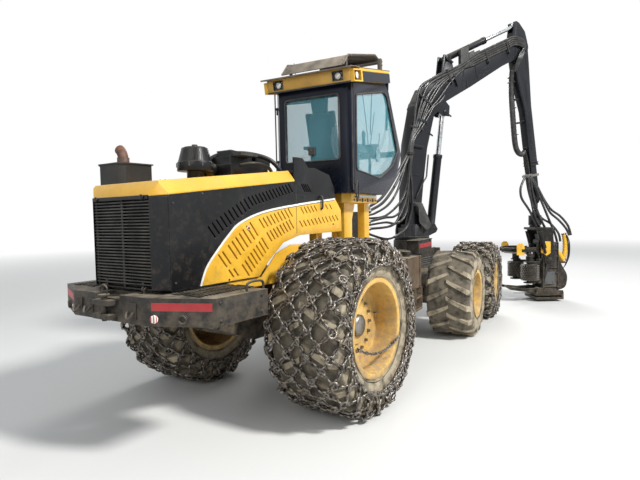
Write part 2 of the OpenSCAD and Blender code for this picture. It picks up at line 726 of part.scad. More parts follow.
module cab_door() {
  color("#1f2430") in_front() difference() {
    union() {
      side_plate(cab_t, cab_hw - cab_t / 2) door_outline(6);
      for (z = door_hinge_z) {
        z_rod(17, z, z + 44, door_hinge[0], door_hinge[1]);
        box(door_hinge[0], door_hinge[0] + 60, cab_hw + 6, cab_hw + 39, z, z + 44);
        box(door_hinge[0] + 12, door_hinge[0] + 60, cab_hw - 1, cab_hw + 7, z, z + 44);
      }
    }
    side_plate(cab_t + 4, cab_hw - cab_t / 2) side_window(0);
    for (z = door_hinge_z) z_rod(12.05, z - 20, z + 90, door_hinge[0], door_hinge[1]);
  }
}

module door_glass() {
  color("#8fc7cf") in_front() side_plate(glass_t, cab_hw - cab_t / 2) side_window(seat);
}

// Frame of the sloping roof: X forward along it, Z off it.
module on_roof() {
  slope = atan2(3660 - cab_eave_z, 2020 - cab_x);
  translate([cab_x, 0, cab_eave_z]) rotate([0, -slope, 0]) children();
}

module cab_roof() {
  color("#d99a2b") in_front() on_roof() difference() {
    box(-90, 1215, -cab_hw - 40, cab_hw + 40, 0, roof_h);
    for (s = [-1, 1]) box(-200, -20, s * 400 - 60, s * 400 + 60, 25, roof_h - 30);
  }
}

// Branch guard over the roof: a curved plate on posts.
module roof_guard() {
  color("#6b645c") in_front() difference() {
    union() {
    side_plate(2 * cab_hw - 200)
      polygon([[860, 3640], [1000, 3790], [1850, 4010], [2080, 3960], [2080, 3948], [1850, 3998], [1006, 3780], [866, 3634]]);
    for (s = [-1, 1]) {
      box(1950, 2000, s * 440 - 25, s * 440 + 25, 3640, 3985);
      box(1000, 1030, s * 380 - 15, s * 380 + 15, 3560, 3784);
    }
    box(1950, 2000, -465, 465, 3950, 3975);
    }
    on_roof() box(-300, 1400, -700, 700, -500, roof_h + seat);
  }
}

module work_lamps() {
  color("#d8d4c8") in_front() on_roof() {
    for (s = [-1, 1]) box(-70, -20, s * 400 - 50, s * 400 + 50, 35, roof_h - 40);
    for (s = [-1, 1]) box(1215, 1262, s * 400 - 50, s * 400 + 50, 35, roof_h - 40);
    z_rod(45, roof_h, roof_h + 90, 900, -150);
  }
}

module seat_base() {
  color("#2a2a2a") in_front() {
    z_rod(60, cab_floor_z + cab_t, cab_floor_z + 330, 1420);
    box(1240, 1620, -190, 190, cab_floor_z + 300, cab_floor_z + 340);
  }
}

module seat_cushion() {
  color("#30343c") in_front() {
    box(1190, 1680, -240, 240, cab_floor_z + 340, cab_floor_z + 460);
    translate([1240, 0, cab_floor_z + 420]) rotate([0, -12, 0]) box(-120, 0, -230, 230, 0, 640);
    translate([1100, 0, cab_floor_z + 1040]) rotate([0, -8, 0]) box(-90, 0, -130, 130, 0, 200);
  }
}

module console() {
  color("#202224") in_front() {
    for (s = [-1, 1]) {
      box(1380, 1720, s * 310 - 50, s * 310 + 50, cab_floor_z + 540, cab_floor_z + 600);
      box(1400, 1460, s * 310 - 30, s * 310 + 30, cab_floor_z + cab_t, cab_floor_z + 545);
      z_rod(22, cab_floor_z + 595, cab_floor_z + 700, 1680, s * 310);
    }
    box(1850, 1890, -430, -200, cab_floor_z + 500, cab_floor_z + 680);
    box(1850, 1880, -330, -300, cab_floor_z + cab_t, cab_floor_z + 510);
    box(1700, 1880, -340, -290, cab_floor_z + cab_t, cab_floor_z + 70);
  }
}

// Steering cylinders.
steer_len = norm([steer_fore[0] - steer_back[0], steer_back[1] - steer_fore[1]]);

// Frame along a steering cylinder, from its eye on the rear frame.
module along_steer(s) {
  t = steer_rest;
  fx = pivot_x + (steer_fore[0] - pivot_x) * cos(t) - s * steer_fore[1] * sin(t);
  fy = (steer_fore[0] - pivot_x) * sin(t) + s * steer_fore[1] * cos(t);
  a = atan2(fy - s * steer_back[1], fx - steer_back[0]);
  in_rear() translate([steer_back[0], s * steer_back[1], steer_z]) rotate([0, 0, a]) children();
}

function steer_now(s) = norm([
  pivot_x + (steer_fore[0] - pivot_x) * cos(steer_rest) - s * steer_fore[1] * sin(steer_rest) - steer_back[0],
  (steer_fore[0] - pivot_x) * sin(steer_rest) + s * steer_fore[1] * cos(steer_rest) - s * steer_back[1]]);

module steer_barrel(s) {
  color("#2b2b2c") along_steer(s) difference() {
    union() {
      z_rod(52, -30, 30);
      translate([40, 0, 0]) rotate([0, 90, 0]) cylinder(r = steer_barrel_r, h = 700);
      z_rod(28, -70, 70);
    }
    translate([90, 0, 0]) rotate([0, 90, 0]) cylinder(r = 28.05, h = 700);
  }
}

module steer_rod(s) {
  color("#c9ccce") along_steer(s) union() {
    translate([steer_now(s), 0, 0]) z_rod(48, -38, 38);
    translate([400, 0, 0]) rotate([0, 90, 0]) cylinder(r = 28, h = steer_now(s) - 440);
  }
}

module steer_barrel_l() { steer_barrel(1); }
module steer_barrel_r() { steer_barrel(-1); }
module steer_rod_l() { steer_rod(1); }
module steer_rod_r() { steer_rod(-1); }

// Crane.
module crane_pillar() {
  color("#25272a") in_crane() difference() {
    union() {
      z_rod(320, slew_top + side_gap, slew_top + 60);
      z_rod(210, slew_top + 40, 1700);
      // cheeks round the boom foot
      for (s = [-1, 1]) side_plate(40, s * (foot_cheek + 20)) union() {
        translate([foot_r, foot_z]) circle(r = 120);
        polygon([[foot_r - 119, foot_z - 10], [foot_r + 119, foot_z + 10], [260, 1640], [260, slew_top + 50],
          [-260, slew_top + 50], [-260, 1600]]);
      }
      box(-240, 240, -foot_cheek - 30, foot_cheek + 30, slew_top + 40, 1640);
      // bracket for the lift cylinder
      for (s = [-1, 1]) side_plate(36, s * (lift_barrel_r + 24))
        polygon([[150, slew_top + 60], [150, 1720], [lift_foot[0] + 20, 1700], [lift_foot[0] + 80, 1600],
          [lift_foot[0] + 40, 1540], [300, slew_top + 60]]);
      y_rod(pin_r, 2 * foot_cheek + 100, x = foot_r, z = foot_z);
    }
    z_rod(150.05, slew_top - 50, slew_top + 156);
    y_rod(40.05, 400, x = lift_foot[0], z = lift_foot[1]);
  }
}

// Stations along the boom's middle line. Columns: x and z from the foot pin, depth.
boom_line = [[0, -170, 330], [60, 500, 380], [130, 1150, 430], [300, 1830, 470], [640, 2180, 460],
  [1300, 2500, 390], [2130, 2950, 330], [knee_r + 90, knee_z + 10, 270]];

function along(p, i) = let(a = p[max(i - 1, 0)], b = p[min(i + 1, len(p) - 1)], d = [b[0] - a[0], b[1] - a[1]]) d / norm(d);
function edge(p, s) = [for (i = [0 : len(p) - 1]) let(t = along(p, i)) [p[i][0] - s * t[1] * p[i][2] / 2,
  p[i][1] + s * t[0] * p[i][2] / 2]];

// Hose clamps on the boom. Columns: x and z from the foot pin, turn.
clamps = [[115, 1130, 96], [215, 1600, 102], [1010, 2420, 152]];

module boom_profile() {
  left = edge(boom_line, 1);
  right = edge(boom_line, -1);
  polygon(concat(left, [for (i = [len(right) - 1 : -1 : 0]) right[i]]));
}

module main_boom() {
  color("#2a2d30") in_crane() difference() {
    union() {
      translate([foot_r, 0, foot_z]) side_plate(boom_w) boom_profile();
      y_rod(150, boom_w, x = foot_r, z = foot_z);
      y_rod(160, boom_w, x = foot_r + knee_r, z = foot_z + knee_z);
      // lift cylinder bracket under the bend
      for (s = [-1, 1]) side_plate(28, s * (boom_w / 2 - 14))
        polygon([[lift_eye[0] - 250, lift_eye[1] + 60], [lift_eye[0] - 60, lift_eye[1] + 260],
          [lift_eye[0] + 90, lift_eye[1] + 120], [lift_eye[0] + 75, lift_eye[1] - 70], [lift_eye[0] - 80, lift_eye[1] - 60]]);
      // jib cylinder bracket on the top
      for (s = [-1, 1]) side_plate(24, s * (jib_barrel_r + 20))
        polygon([[jibcyl_foot[0] - 160, jibcyl_foot[1] - 500], [jibcyl_foot[0] - 80, jibcyl_foot[1] + 60],
          [jibcyl_foot[0] + 80, jibcyl_foot[1] + 60], [jibcyl_foot[0] + 200, jibcyl_foot[1] - 350]]);
      y_rod(pin_r, boom_w + 20, x = foot_r + knee_r, z = foot_z + knee_z);
      y_rod(85, boom_w + 14, x = foot_r + knee_r, z = foot_z + knee_z);
      y_rod(95, boom_w + 10, x = foot_r, z = foot_z);
      // wear plates on the bend's sides
      translate([foot_r, 0, foot_z]) side_plate(boom_w + 12)
        polygon([[120, 1500], [60, 1850], [250, 2210], [640, 2330], [760, 2140], [480, 1950], [330, 1500]]);
      // hose clamps on the right side
      for (c = clamps) translate([foot_r + c[0], 0, foot_z + c[1]]) rotate([0, c[2], 0])
        box(-22, 22, -boom_w / 2 - 45, 0, -120, 120);
    }
    y_rod(bore_r, 400, x = foot_r, z = foot_z);
    // slot for the jib's root
    difference() {
      y_rod(knee_slot, jib_w + 2 * side_gap, x = foot_r + knee_r, z = foot_z + knee_z);
      y_rod(pin_r, 400, x = foot_r + knee_r, z = foot_z + knee_z);
    }
    // room for the lift cylinder's rod between the bracket's cheeks
    y_rod(105, 2 * 70, x = lift_eye[0], z = lift_eye[1]);
    y_rod(34.05, 400, x = jibcyl_foot[0], z = jibcyl_foot[1]);
  }
}

// A cylinder in the crane's plane from foot to eye: frame with X along it.
module along_cyl(a, b) {
  in_crane() translate([a[0], 0, a[1]]) rotate([0, -atan2(b[1] - a[1], b[0] - a[0]), 0]) children();
}

module barrel(r, len, eye_r, eye_w, pin, rod, pin_w) {
  difference() {
    union() {
      y_rod(eye_r, eye_w);
      translate([eye_r * 0.6, 0, 0]) rotate([0, 90, 0]) cylinder(r = r, h = len - eye_r * 0.6);
      translate([len - 60, 0, 0]) rotate([0, 90, 0]) cylinder(r = r + 8, h = 60);
      y_rod(pin, pin_w);
    }
    translate([eye_r + 40, 0, 0]) rotate([0, 90, 0]) cylinder(r = rod + pin_fit, h = len);
  }
}

module rod(r, from, to, eye_r, eye_w) {
  translate([from, 0, 0]) rotate([0, 90, 0]) cylinder(r = r, h = to - from - eye_r * 0.5);
  translate([to, 0, 0]) y_rod(eye_r, eye_w);
}

lift_now = norm([lift_eye[0] - lift_foot[0], lift_eye[1] - lift_foot[1]]);
horn_pos = [foot_r + knee_r + jib_horn[0] * cos(jib_rest) + jib_horn[1] * sin(jib_rest),
  foot_z + knee_z - jib_horn[0] * sin(jib_rest) + jib_horn[1] * cos(jib_rest)];
jibcyl_now = norm([horn_pos[0] - jibcyl_foot[0], horn_pos[1] - jibcyl_foot[1]]);

module lift_barrel() {
  color("#26282b") along_cyl(lift_foot, lift_eye) barrel(lift_barrel_r, 1400, 75, 2 * lift_barrel_r, 40, 48, 2 * lift_barrel_r + 90);
}

module lift_rod() {
  color("#c9ccce") along_cyl(lift_foot, lift_eye) rod(48, 700, lift_now, 70, 120);
}

module jib_barrel() {
  color("#26282b") along_cyl(jibcyl_foot, horn_pos) barrel(jib_barrel_r, 1120, 60, 2 * jib_barrel_r, 34, 38, 2 * jib_barrel_r + 80);
}

module jib_rod() {
  color("#c9ccce") along_cyl(jibcyl_foot, horn_pos) rod(38, 590, jibcyl_now, 58, 90);
}

module jib() {
  color("#2a2d30") in_jib() difference() {
    union() {
      side_plate(jib_w)
        polygon([[-500, -130], [-515, -60], [-480, 10], [-300, 150], [-100, 185], [330, 165], [1200, jib_box / 2],
          [jib_open, jib_box / 2], [jib_open, -jib_box / 2], [1300, -jib_box / 2], [840, -180], [440, -225],
          [140, -235], [-150, -225], [-400, -150]]);
      for (c = [900, 1500, 2060]) box(c - 20, c + 20, -40, 40, -jib_box / 2 - 45, -jib_box / 2 + 30);
      side_plate(jib_w + 20) polygon([[jib_open - 60, -jib_box / 2 - 10], [jib_open - 60, jib_box / 2 + 10],
        [jib_open, jib_box / 2 + 10], [jib_open, -jib_box / 2 - 10]]);
    }
    y_rod(bore_r, 400);
    // slot for the jib cylinder's eye
    box(jib_horn[0] - 300, jib_horn[0] + 130, -52, 52, jib_horn[1] - 200, jib_horn[1] + 130);
    box(900, jib_open + 50, -jib_w / 2 + jib_wall, jib_w / 2 - jib_wall, -jib_box / 2 + jib_wall, jib_box / 2 - jib_wall);
  }
}

module extension() {
  c = 2;
  hw = jib_w / 2 - jib_wall - c;
  hd = jib_box / 2 - jib_wall - c;
  color("#34373a") in_jib() difference() {
    union() {
      box(960, jib_len - 90, -hw, hw, -hd, hd);
      box(960, 1080, -hw - c + pin_fit, hw + c - pin_fit, -hd - c + pin_fit, hd + c - pin_fit);
      box(jib_len - 160, jib_len - 90, -hw, hw, -80, 80);
      for (s = [-1, 1]) side_plate(20, s * (hw - 10)) union() {
        translate([jib_len, 0]) circle(r = 70);
        polygon([[jib_len - 150, -80], [jib_len - 150, 80], [jib_len, 70], [jib_len, -70]]);
      }
    }
    y_rod(30.05, 400, x = jib_len);
  }
}

// Swing link with the rotator's body at its lower end.
module tip_link() {
  w = 2 * (jib_w / 2 - jib_wall - 2 - 20 - 4);
  color("#3a3a3a") in_crane() translate([tip_r, 0, 0]) {
    y_rod(60, w, z = tip_z);
    y_rod(30, 2 * (jib_w / 2 - jib_wall) + 30, z = tip_z);
    box(-45, 45, -w / 2, w / 2, tip_z - link_len, tip_z);
    z_rod(130, tip_z - link_len - 200, tip_z - link_len + 10);
    z_rod(spindle_r, tip_z - link_len - 270, tip_z - link_len - 190);
  }
}

// Harvester head.
module tilt_frame() {
  hw = head_hw + side_gap;
  top = head_tall - link_len - 200 - side_gap;
  color("#232323") in_head() difference() {
    union() {
    z_rod(110, top - 40, top);
    box(-260, 120, -hw - 40, hw + 40, top - 90, top - 40);
    for (s = [-1, 1]) side_plate(36, s * (hw + 18)) union() {
      polygon([[-260, top - 90], [60, top - 90], [-tilt_back + 100, tilt_z + 20], [-tilt_back - 100, tilt_z - 20]]);
      translate([-tilt_back, tilt_z]) circle(r = 100);
    }
    for (s = [-1, 1]) y_rod(35, 100, x = -tilt_back, z = tilt_z, y = s * (head_hw + 10));
    }
    z_rod(spindle_r + pin_fit, top - 200, top + 10);
  }
}

module head_frame() {
  color("#1c1c1c") in_head() {
    difference() {
      union() {
        box(-380, -60, -head_hw, head_hw, 190, 1240);
        box(-470, 100, -head_hw - 60, head_hw + 60, 45, 200);
        box(-300, -20, -150, 150, 1200, 1290);
        // lugs of the knives and of the feed arms
        for (z = [1010, 1126, 380, 846]) translate([0, 0, z]) linear_extrude(44)
          for (s = [-1, 1]) {
            translate([grip_x, s * grip_y]) circle(r = hub_r);
            polygon([[-61, s * 150], [-61, s * (head_hw - 10)], [grip_x, s * (grip_y + hub_r)], [grip_x, s * (grip_y - hub_r)]]);
          }
      }
      box(-160, 0, -170, 170, 210, 1180);
      for (s = [-1, 1]) y_rod(35 + pin_fit, 130, x = -tilt_back, z = tilt_z, y = s * (head_hw - 10));
      box(-430, 110, -head_hw - 70, head_hw + 70, 90, 130);
      for (s = [-1, 1]) z_rod(30 + pin_fit, 375, 1178, grip_x, s * grip_y);
    }
    z_rod(20, 80, 140, saw_pivot[0], saw_pivot[1]);
  }
}

module knife(s) {
  color("#2e2e2e") in_head() union() {
    translate([0, 0, 1060]) linear_extrude(60) union() {
      translate([grip_x, s * grip_y]) circle(r = hub_r);
      polygon([[grip_x, s * (grip_y + hub_r)], [190, s * 420], [430, s * 470], [640, s * 330], [knife_reach, s * 60],
        [690, s * 60], [590, s * 280], [410, s * 400], [220, s * 350], [grip_x + 40, s * (grip_y - 25)]]);
    }
    z_rod(30, 1012, 1168, grip_x, s * grip_y);
  }
}

module feed_arm(s) {
  color("#2a2a2a") in_head() union() {
    for (z = [430, 800]) translate([0, 0, z]) linear_extrude(40) union() {
      translate([grip_x, s * grip_y]) circle(r = hub_r);
      translate([270, s * 380]) circle(r = 60);
      polygon([[grip_x - 30, s * (grip_y + 40)], [230, s * 430], [310, s * 330], [grip_x + 35, s * (grip_y - 40)]]);
    }
    z_rod(30, 382, 888, grip_x, s * grip_y);
    z_rod(roller_r, 470, 800, 270, s * 380);
  }
}

module knife_l() { knife(1); }
module knife_r() { knife(-1); }
module feed_arm_l() { feed_arm(1); }
module feed_arm_r() { feed_arm(-1); }

module saw_bar() {
  color("#8a8d90") in_head() union() {
    translate([0, 0, 104]) linear_extrude(12) difference() {
      union() {
        translate(saw_pivot) circle(r = 40);
        polygon([[-380, -290], [350, -275], [350, -225], [-380, -210]]);
      }
      translate(saw_pivot) circle(r = 20 + pin_fit);
    }
  }
}

rear_frame();
rear_bumper();
engine_block();
rear_axle();
rear_fenders();
hood_top();
hood_side_black();
hood_side_yellow();
rear_grille();
exhaust();
intake();
tyre_rear_l();
tyre_rear_r();
rim_rear_l();
rim_rear_r();
tyre_mid_l();
tyre_mid_r();
rim_mid_l();
rim_mid_r();
tyre_front_l();
tyre_front_r();
rim_front_l();
rim_front_r();
front_frame();
bogie_boxes();
side_tanks();
cab_base();
cab_frame();
cab_roof();
roof_guard();
cab_glass();
seat_base();
seat_cushion();
console();
work_lamps();
cab_door();
door_glass();
steer_barrel_l();
steer_barrel_r();
steer_rod_l();
steer_rod_r();
crane_pillar();
main_boom();
lift_barrel();
lift_rod();
jib();
jib_barrel();
jib_rod();
extension();
tip_link();
tilt_frame();
head_frame();
knife_l();
knife_r();
feed_arm_l();
feed_arm_r();
saw_bar();
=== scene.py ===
# %% [markdown]
# # A six-wheel forestry harvester
# The machine is dressed in Blender around a CAD frame: an articulated carrier with chained tyres, a
# glazed cab, a knuckle crane and a felling head. The frame already holds every part that moves or carries
# load, so this lesson adds what the eye reads: rubber, mud, chain links, hoses, dents, dust and worn
# paint.

# %% The frame
import bpy
import json
import random
from math import atan2, copysign, cos, degrees, hypot, pi, radians, sin
from mathutils import Matrix, Vector, noise


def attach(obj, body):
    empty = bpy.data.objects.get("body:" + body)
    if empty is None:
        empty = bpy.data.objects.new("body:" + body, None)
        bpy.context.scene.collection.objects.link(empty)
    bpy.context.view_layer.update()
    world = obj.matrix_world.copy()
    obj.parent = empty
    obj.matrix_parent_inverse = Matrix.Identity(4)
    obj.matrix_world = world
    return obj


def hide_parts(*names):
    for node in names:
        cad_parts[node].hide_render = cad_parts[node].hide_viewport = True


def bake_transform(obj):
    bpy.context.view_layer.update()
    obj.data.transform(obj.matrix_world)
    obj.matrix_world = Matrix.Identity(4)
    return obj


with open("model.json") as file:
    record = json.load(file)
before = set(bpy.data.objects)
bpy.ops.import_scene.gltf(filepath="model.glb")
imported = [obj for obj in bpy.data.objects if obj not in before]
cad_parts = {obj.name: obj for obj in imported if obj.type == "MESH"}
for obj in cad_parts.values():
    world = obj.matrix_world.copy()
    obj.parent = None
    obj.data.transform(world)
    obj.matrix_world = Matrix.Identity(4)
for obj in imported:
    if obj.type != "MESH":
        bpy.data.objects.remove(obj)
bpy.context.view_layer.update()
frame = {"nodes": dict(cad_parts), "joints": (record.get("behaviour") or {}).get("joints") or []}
joints = {joint["name"]: joint for joint in frame["joints"]}
nodes = frame["nodes"]

# %% [markdown]
# ## Where the modules stand
# The carrier is parked with a little steering lock and the crane swung out to the right. Each module is
# easiest to dress in its own straight frame, so five matrices take local points to where the module
# stands. They come from the joints themselves: a pin gives a place, and its axis or a second pin gives
# the direction.

# %% Five local frames
PIVOT_X = 1.78


def pin(name):
    return Vector(joints[name]["pos_m"])


def at(x, y, z):
    """A place that is moved and not turned."""
    return Matrix.Translation((x, y, z))


def turned(place, heading, back=0.0):
    """A frame on the ground: X points along heading, and its origin lies back metres behind place."""
    angle = atan2(heading[1], heading[0])
    return at(place[0], place[1], 0) @ Matrix.Rotation(angle, 4, "Z") @ at(-back, 0, 0)


def ahead_of(side):
    """The forward direction that goes with a leftward axis."""
    return (side[1], -side[0])


REAR = turned(pin("steer"), (1, 0), PIVOT_X)
FRONT = turned(pin("steer"), ahead_of(joints["roll_mid_l"]["axis"]), PIVOT_X)
CRANE = turned(pin("slew"), ahead_of(joints["lift"]["axis"]))
HEAD = turned(pin("rotator"), ahead_of(joints["tilt"]["axis"]))
knee, tip = pin("jib_fold"), pin("link_swing")
along = (tip - knee).normalized()
side = Vector(joints["lift"]["axis"])
JIB = Matrix((along, side, along.cross(side))).transposed().to_4x4()
JIB.translation = knee
IDENTITY = Matrix.Identity(4)
print("frames: front turned %.1f deg, crane %.1f deg" % (
    degrees(atan2(FRONT[1][0], FRONT[0][0])), degrees(atan2(CRANE[1][0], CRANE[0][0]))))

# %% [markdown]
# ## The camera
# The picture was taken from behind and to the right, from standing height, with a wide lens. The numbers
# below were found by fitting wheels, hood corners and bumper edges of known size to the photograph.

# %% Camera at the photograph's place
CAMERA_PLACE = (-4.203, -3.634, 1.895)
CAMERA_ANGLES = (34.356, -2.701, -1.264)
FOCAL_LENGTH, PICTURE_WIDTH = 509.338, 640  # both in pixels
SENSOR = 36

eye = REAR @ Vector(CAMERA_PLACE)
yaw, pitch, roll = (radians(a) for a in CAMERA_ANGLES)
aim = Vector((cos(yaw) * cos(pitch), sin(yaw) * cos(pitch), sin(pitch)))
right = Vector((sin(yaw), -cos(yaw), 0))
up = right.cross(aim)
right_rolled = right * cos(roll) + up * sin(roll)
up_rolled = up * cos(roll) - right * sin(roll)
camera_data = bpy.data.cameras.new("camera")
camera_data.sensor_width = SENSOR
camera_data.lens = FOCAL_LENGTH / PICTURE_WIDTH * SENSOR
camera_data.clip_end = 200
camera = bpy.data.objects.new("camera", camera_data)
camera.matrix_world = Matrix((right_rolled, up_rolled, -aim)).transposed().to_4x4()
camera.matrix_world.translation = eye
bpy.context.scene.collection.objects.link(camera)
bpy.context.scene.camera = camera
bpy.context.scene.view_settings.view_transform = "Standard"
print("camera: lens %.1f mm" % camera_data.lens)

# %% [markdown]
# ## Floor, world and lamps
# A machine this size is photographed outdoors, but a plain pale floor with soft light shows shape and
# paint best. The backdrop is white only to the camera, to mirrors and to glass, so it adds no extra light
# to the paint.

# %% A node helper and hex colours
def linear(code):
    """An sRGB hex colour as linear red, green, blue and full alpha."""
    out = []
    for i in (1, 3, 5):
        c = int(code[i:i + 2], 16) / 255
        out.append(c / 12.92 if c <= 0.04045 else ((c + 0.055) / 1.055) ** 2.4)
    return (*out, 1.0)


def add(tree, kind, inputs=None, **settings):
    """Adds one node. inputs: socket to another node's output, a number, a vector or a hex colour."""
    node = tree.nodes.new(kind)
    for key, value in settings.items():
        setattr(node, key, value)
    for socket, value in (inputs or {}).items():
        if isinstance(value, bpy.types.NodeSocket):
            tree.links.new(value, node.inputs[socket])
        else:
            node.inputs[socket].default_value = linear(value) if isinstance(value, str) else value
    return node


def blank_tree(owner):
    owner.use_nodes = True
    owner.node_tree.nodes.clear()
    return owner.node_tree


def larger(tree, a, b, **settings):
    """The stronger of two masks."""
    return add(tree, "ShaderNodeMath", {0: a, 1: b}, operation="MAXIMUM", **settings).outputs[0]


def seen_directly(tree):
    """1 for the camera and for what mirrors and glass show, 0 for the light that falls on the object."""
    rays = add(tree, "ShaderNodeLightPath").outputs
    return larger(tree, larger(tree, rays["Is Camera Ray"], rays["Is Glossy Ray"]),
                  rays["Is Transmission Ray"])

# %% World and floor
FLOOR_REACH = 60
FADE_FROM, FADE_TO = 9.0, 30.0

world = bpy.data.worlds.new("studio")
bpy.context.scene.world = world
tree = blank_tree(world)
soft = add(tree, "ShaderNodeBackground", {"Color": "#DCE6F2", "Strength": 0.42})
white = add(tree, "ShaderNodeBackground", {"Color": "#FFFFFF", "Strength": 1.0})
mix = add(tree, "ShaderNodeMixShader", {0: seen_directly(tree), 1: soft.outputs[0], 2: white.outputs[0]})
add(tree, "ShaderNodeOutputWorld", {"Surface": mix.outputs[0]})

floor_mesh = bpy.data.meshes.new("floor")
corners = [(x * FLOOR_REACH, y * FLOOR_REACH, 0) for x, y in ((-1, -1), (1, -1), (1, 1), (-1, 1))]
floor_mesh.from_pydata(corners, [], [(0, 1, 2, 3)])
floor = bpy.data.objects.new("floor", floor_mesh)
bpy.context.scene.collection.objects.link(floor)
floor.location.z = -0.002
floor_material = bpy.data.materials.new("pale_floor")
tree = blank_tree(floor_material)
shade = add(tree, "ShaderNodeBsdfPrincipled", {"Base Color": "#D9D8D4", "Roughness": 0.9})
place = add(tree, "ShaderNodeNewGeometry")
far = add(tree, "ShaderNodeVectorMath", {0: place.outputs["Position"]}, operation="LENGTH")
fade = add(tree, "ShaderNodeMapRange",
           {"Value": far.outputs["Value"], "From Min": FADE_FROM, "From Max": FADE_TO})
amount = add(tree, "ShaderNodeMath", {0: fade.outputs[0], 1: seen_directly(tree)}, operation="MULTIPLY")
glow = add(tree, "ShaderNodeEmission", {"Color": "#FFFFFF", "Strength": 1.0})
mix = add(tree, "ShaderNodeMixShader", {0: amount.outputs[0], 1: shade.outputs[0], 2: glow.outputs[0]})
add(tree, "ShaderNodeOutputMaterial", {"Surface": mix.outputs[0]})
floor.data.materials.append(floor_material)

# %% Soft lamps
def lamp(name, place, target, size, power):
    data = bpy.data.lights.new(name, "AREA")
    data.shape = "DISK"
    data.size = size
    data.energy = power
    light = bpy.data.objects.new(name, data)
    light.location = place
    light.rotation_euler = (Vector(target) - Vector(place)).to_track_quat("-Z", "Y").to_euler()
    bpy.context.scene.collection.objects.link(light)


lamp("sun_side", (-2.5, -14, 13), (-0.5, 0, 1), 2.6, 4300)
lamp("sky_back", (-14, -2, 8), (0, 0, 1.5), 9.0, 620)
lamp("sky_front", (13, 5, 10), (0, 0, 1.5), 8.0, 1300)
print("stage: floor, 3 lamps")

# %% [markdown]
# ## What the surfaces are
# A working machine is painted steel under dust: each paint keeps its own colour, gets duller where hands
# and branches rub it, turns pale near the ground where dried mud splashes, and shows primer or bare steel
# on edges. Patterns use the object's own coordinates, which are metres here, so a scale is one over the
# real size.

# %% Per-millimetre scales and shared patterns
RUBBED_EDGE = 0.006


def per_mm(size):
    """Noise scale whose features are about this many millimetres across."""
    return 1000.0 / size


def start(name):
    material = bpy.data.materials.new(name)
    tree = blank_tree(material)
    place = add(tree, "ShaderNodeTexCoord")
    return material, tree, place.outputs["Object"]


def blotches(tree, place, size, detail=4.0, low=0.4, high=0.6, rough=0.55):
    """A soft mask of patches about size millimetres across, from 0 to 1."""
    grain = add(tree, "ShaderNodeTexNoise",
                {"Vector": place, "Scale": per_mm(size), "Detail": detail, "Roughness": rough})
    return between(tree, grain.outputs["Fac"], low, high)


def between(tree, value, low, high, start=0.0, end=1.0):
    """A value that runs from start to end as another runs from low to high."""
    return add(tree, "ShaderNodeMapRange", {"Value": value, "From Min": low, "From Max": high,
                                            "To Min": start, "To Max": end}).outputs[0]


def where_both(tree, mask, other):
    """A mask that shows only where both do. A number as the second one thins the first."""
    return add(tree, "ShaderNodeMath", {0: mask, 1: other}, operation="MULTIPLY").outputs[0]


def over(tree, amount, below, above):
    """Lays one colour over another by an amount. Colours are hex strings or sockets."""
    return add(tree, "ShaderNodeMix", {0: amount, 6: below, 7: above}, data_type="RGBA").outputs[2]

# %% Masks by height, direction and edge
def low_down(tree, place, top, bottom):
    """1 near the ground, fading to 0 at height top, in metres."""
    height = add(tree, "ShaderNodeSeparateXYZ", {0: place})
    return between(tree, height.outputs["Z"], bottom, top, 1.0, 0.0)


def upward(tree):
    """1 on faces that look up, where dust settles."""
    shape = add(tree, "ShaderNodeNewGeometry")
    facing_up = add(tree, "ShaderNodeSeparateXYZ", {0: shape.outputs["Normal"]})
    return between(tree, facing_up.outputs["Z"], 0.3, 0.95)


def edges(tree):
    """1 along sharp edges: the rounded normal differs from the flat one there."""
    shape = add(tree, "ShaderNodeNewGeometry")
    soft = add(tree, "ShaderNodeBevel", {"Radius": RUBBED_EDGE}, samples=4)
    same = add(tree, "ShaderNodeVectorMath", {0: shape.outputs["Normal"], 1: soft.outputs[0]},
               operation="DOT_PRODUCT")
    return between(tree, same.outputs["Value"], 0.995, 0.9)

# %% Bumps and the finished surface
def bumped(tree, place, size, depth, strength=0.3):
    grain = add(tree, "ShaderNodeTexNoise", {"Vector": place, "Scale": per_mm(size), "Detail": 5.0})
    return add(tree, "ShaderNodeBump",
               {"Height": grain.outputs["Fac"], "Strength": strength, "Distance": depth}).outputs[0]


def finish_material(tree, colour, roughness, normal=None, **fixed):
    """The shader itself. roughness is a number or a socket; fixed values go straight onto its sockets."""
    inputs = {"Base Color": colour, "Roughness": roughness, **fixed}
    if normal is not None:
        inputs["Normal"] = normal
    shader = add(tree, "ShaderNodeBsdfPrincipled", inputs)
    add(tree, "ShaderNodeOutputMaterial", {"Surface": shader.outputs[0]})

# %% [markdown]
# ## Painted steel
# Two-pack paint sprayed on plate: smooth, a little orange peel, glossy when clean. Years of branches
# leave long fine scratches, and dust lies on everything that faces up. One function builds all the
# paints, because the real ones differ only in colour, gloss and dirt.

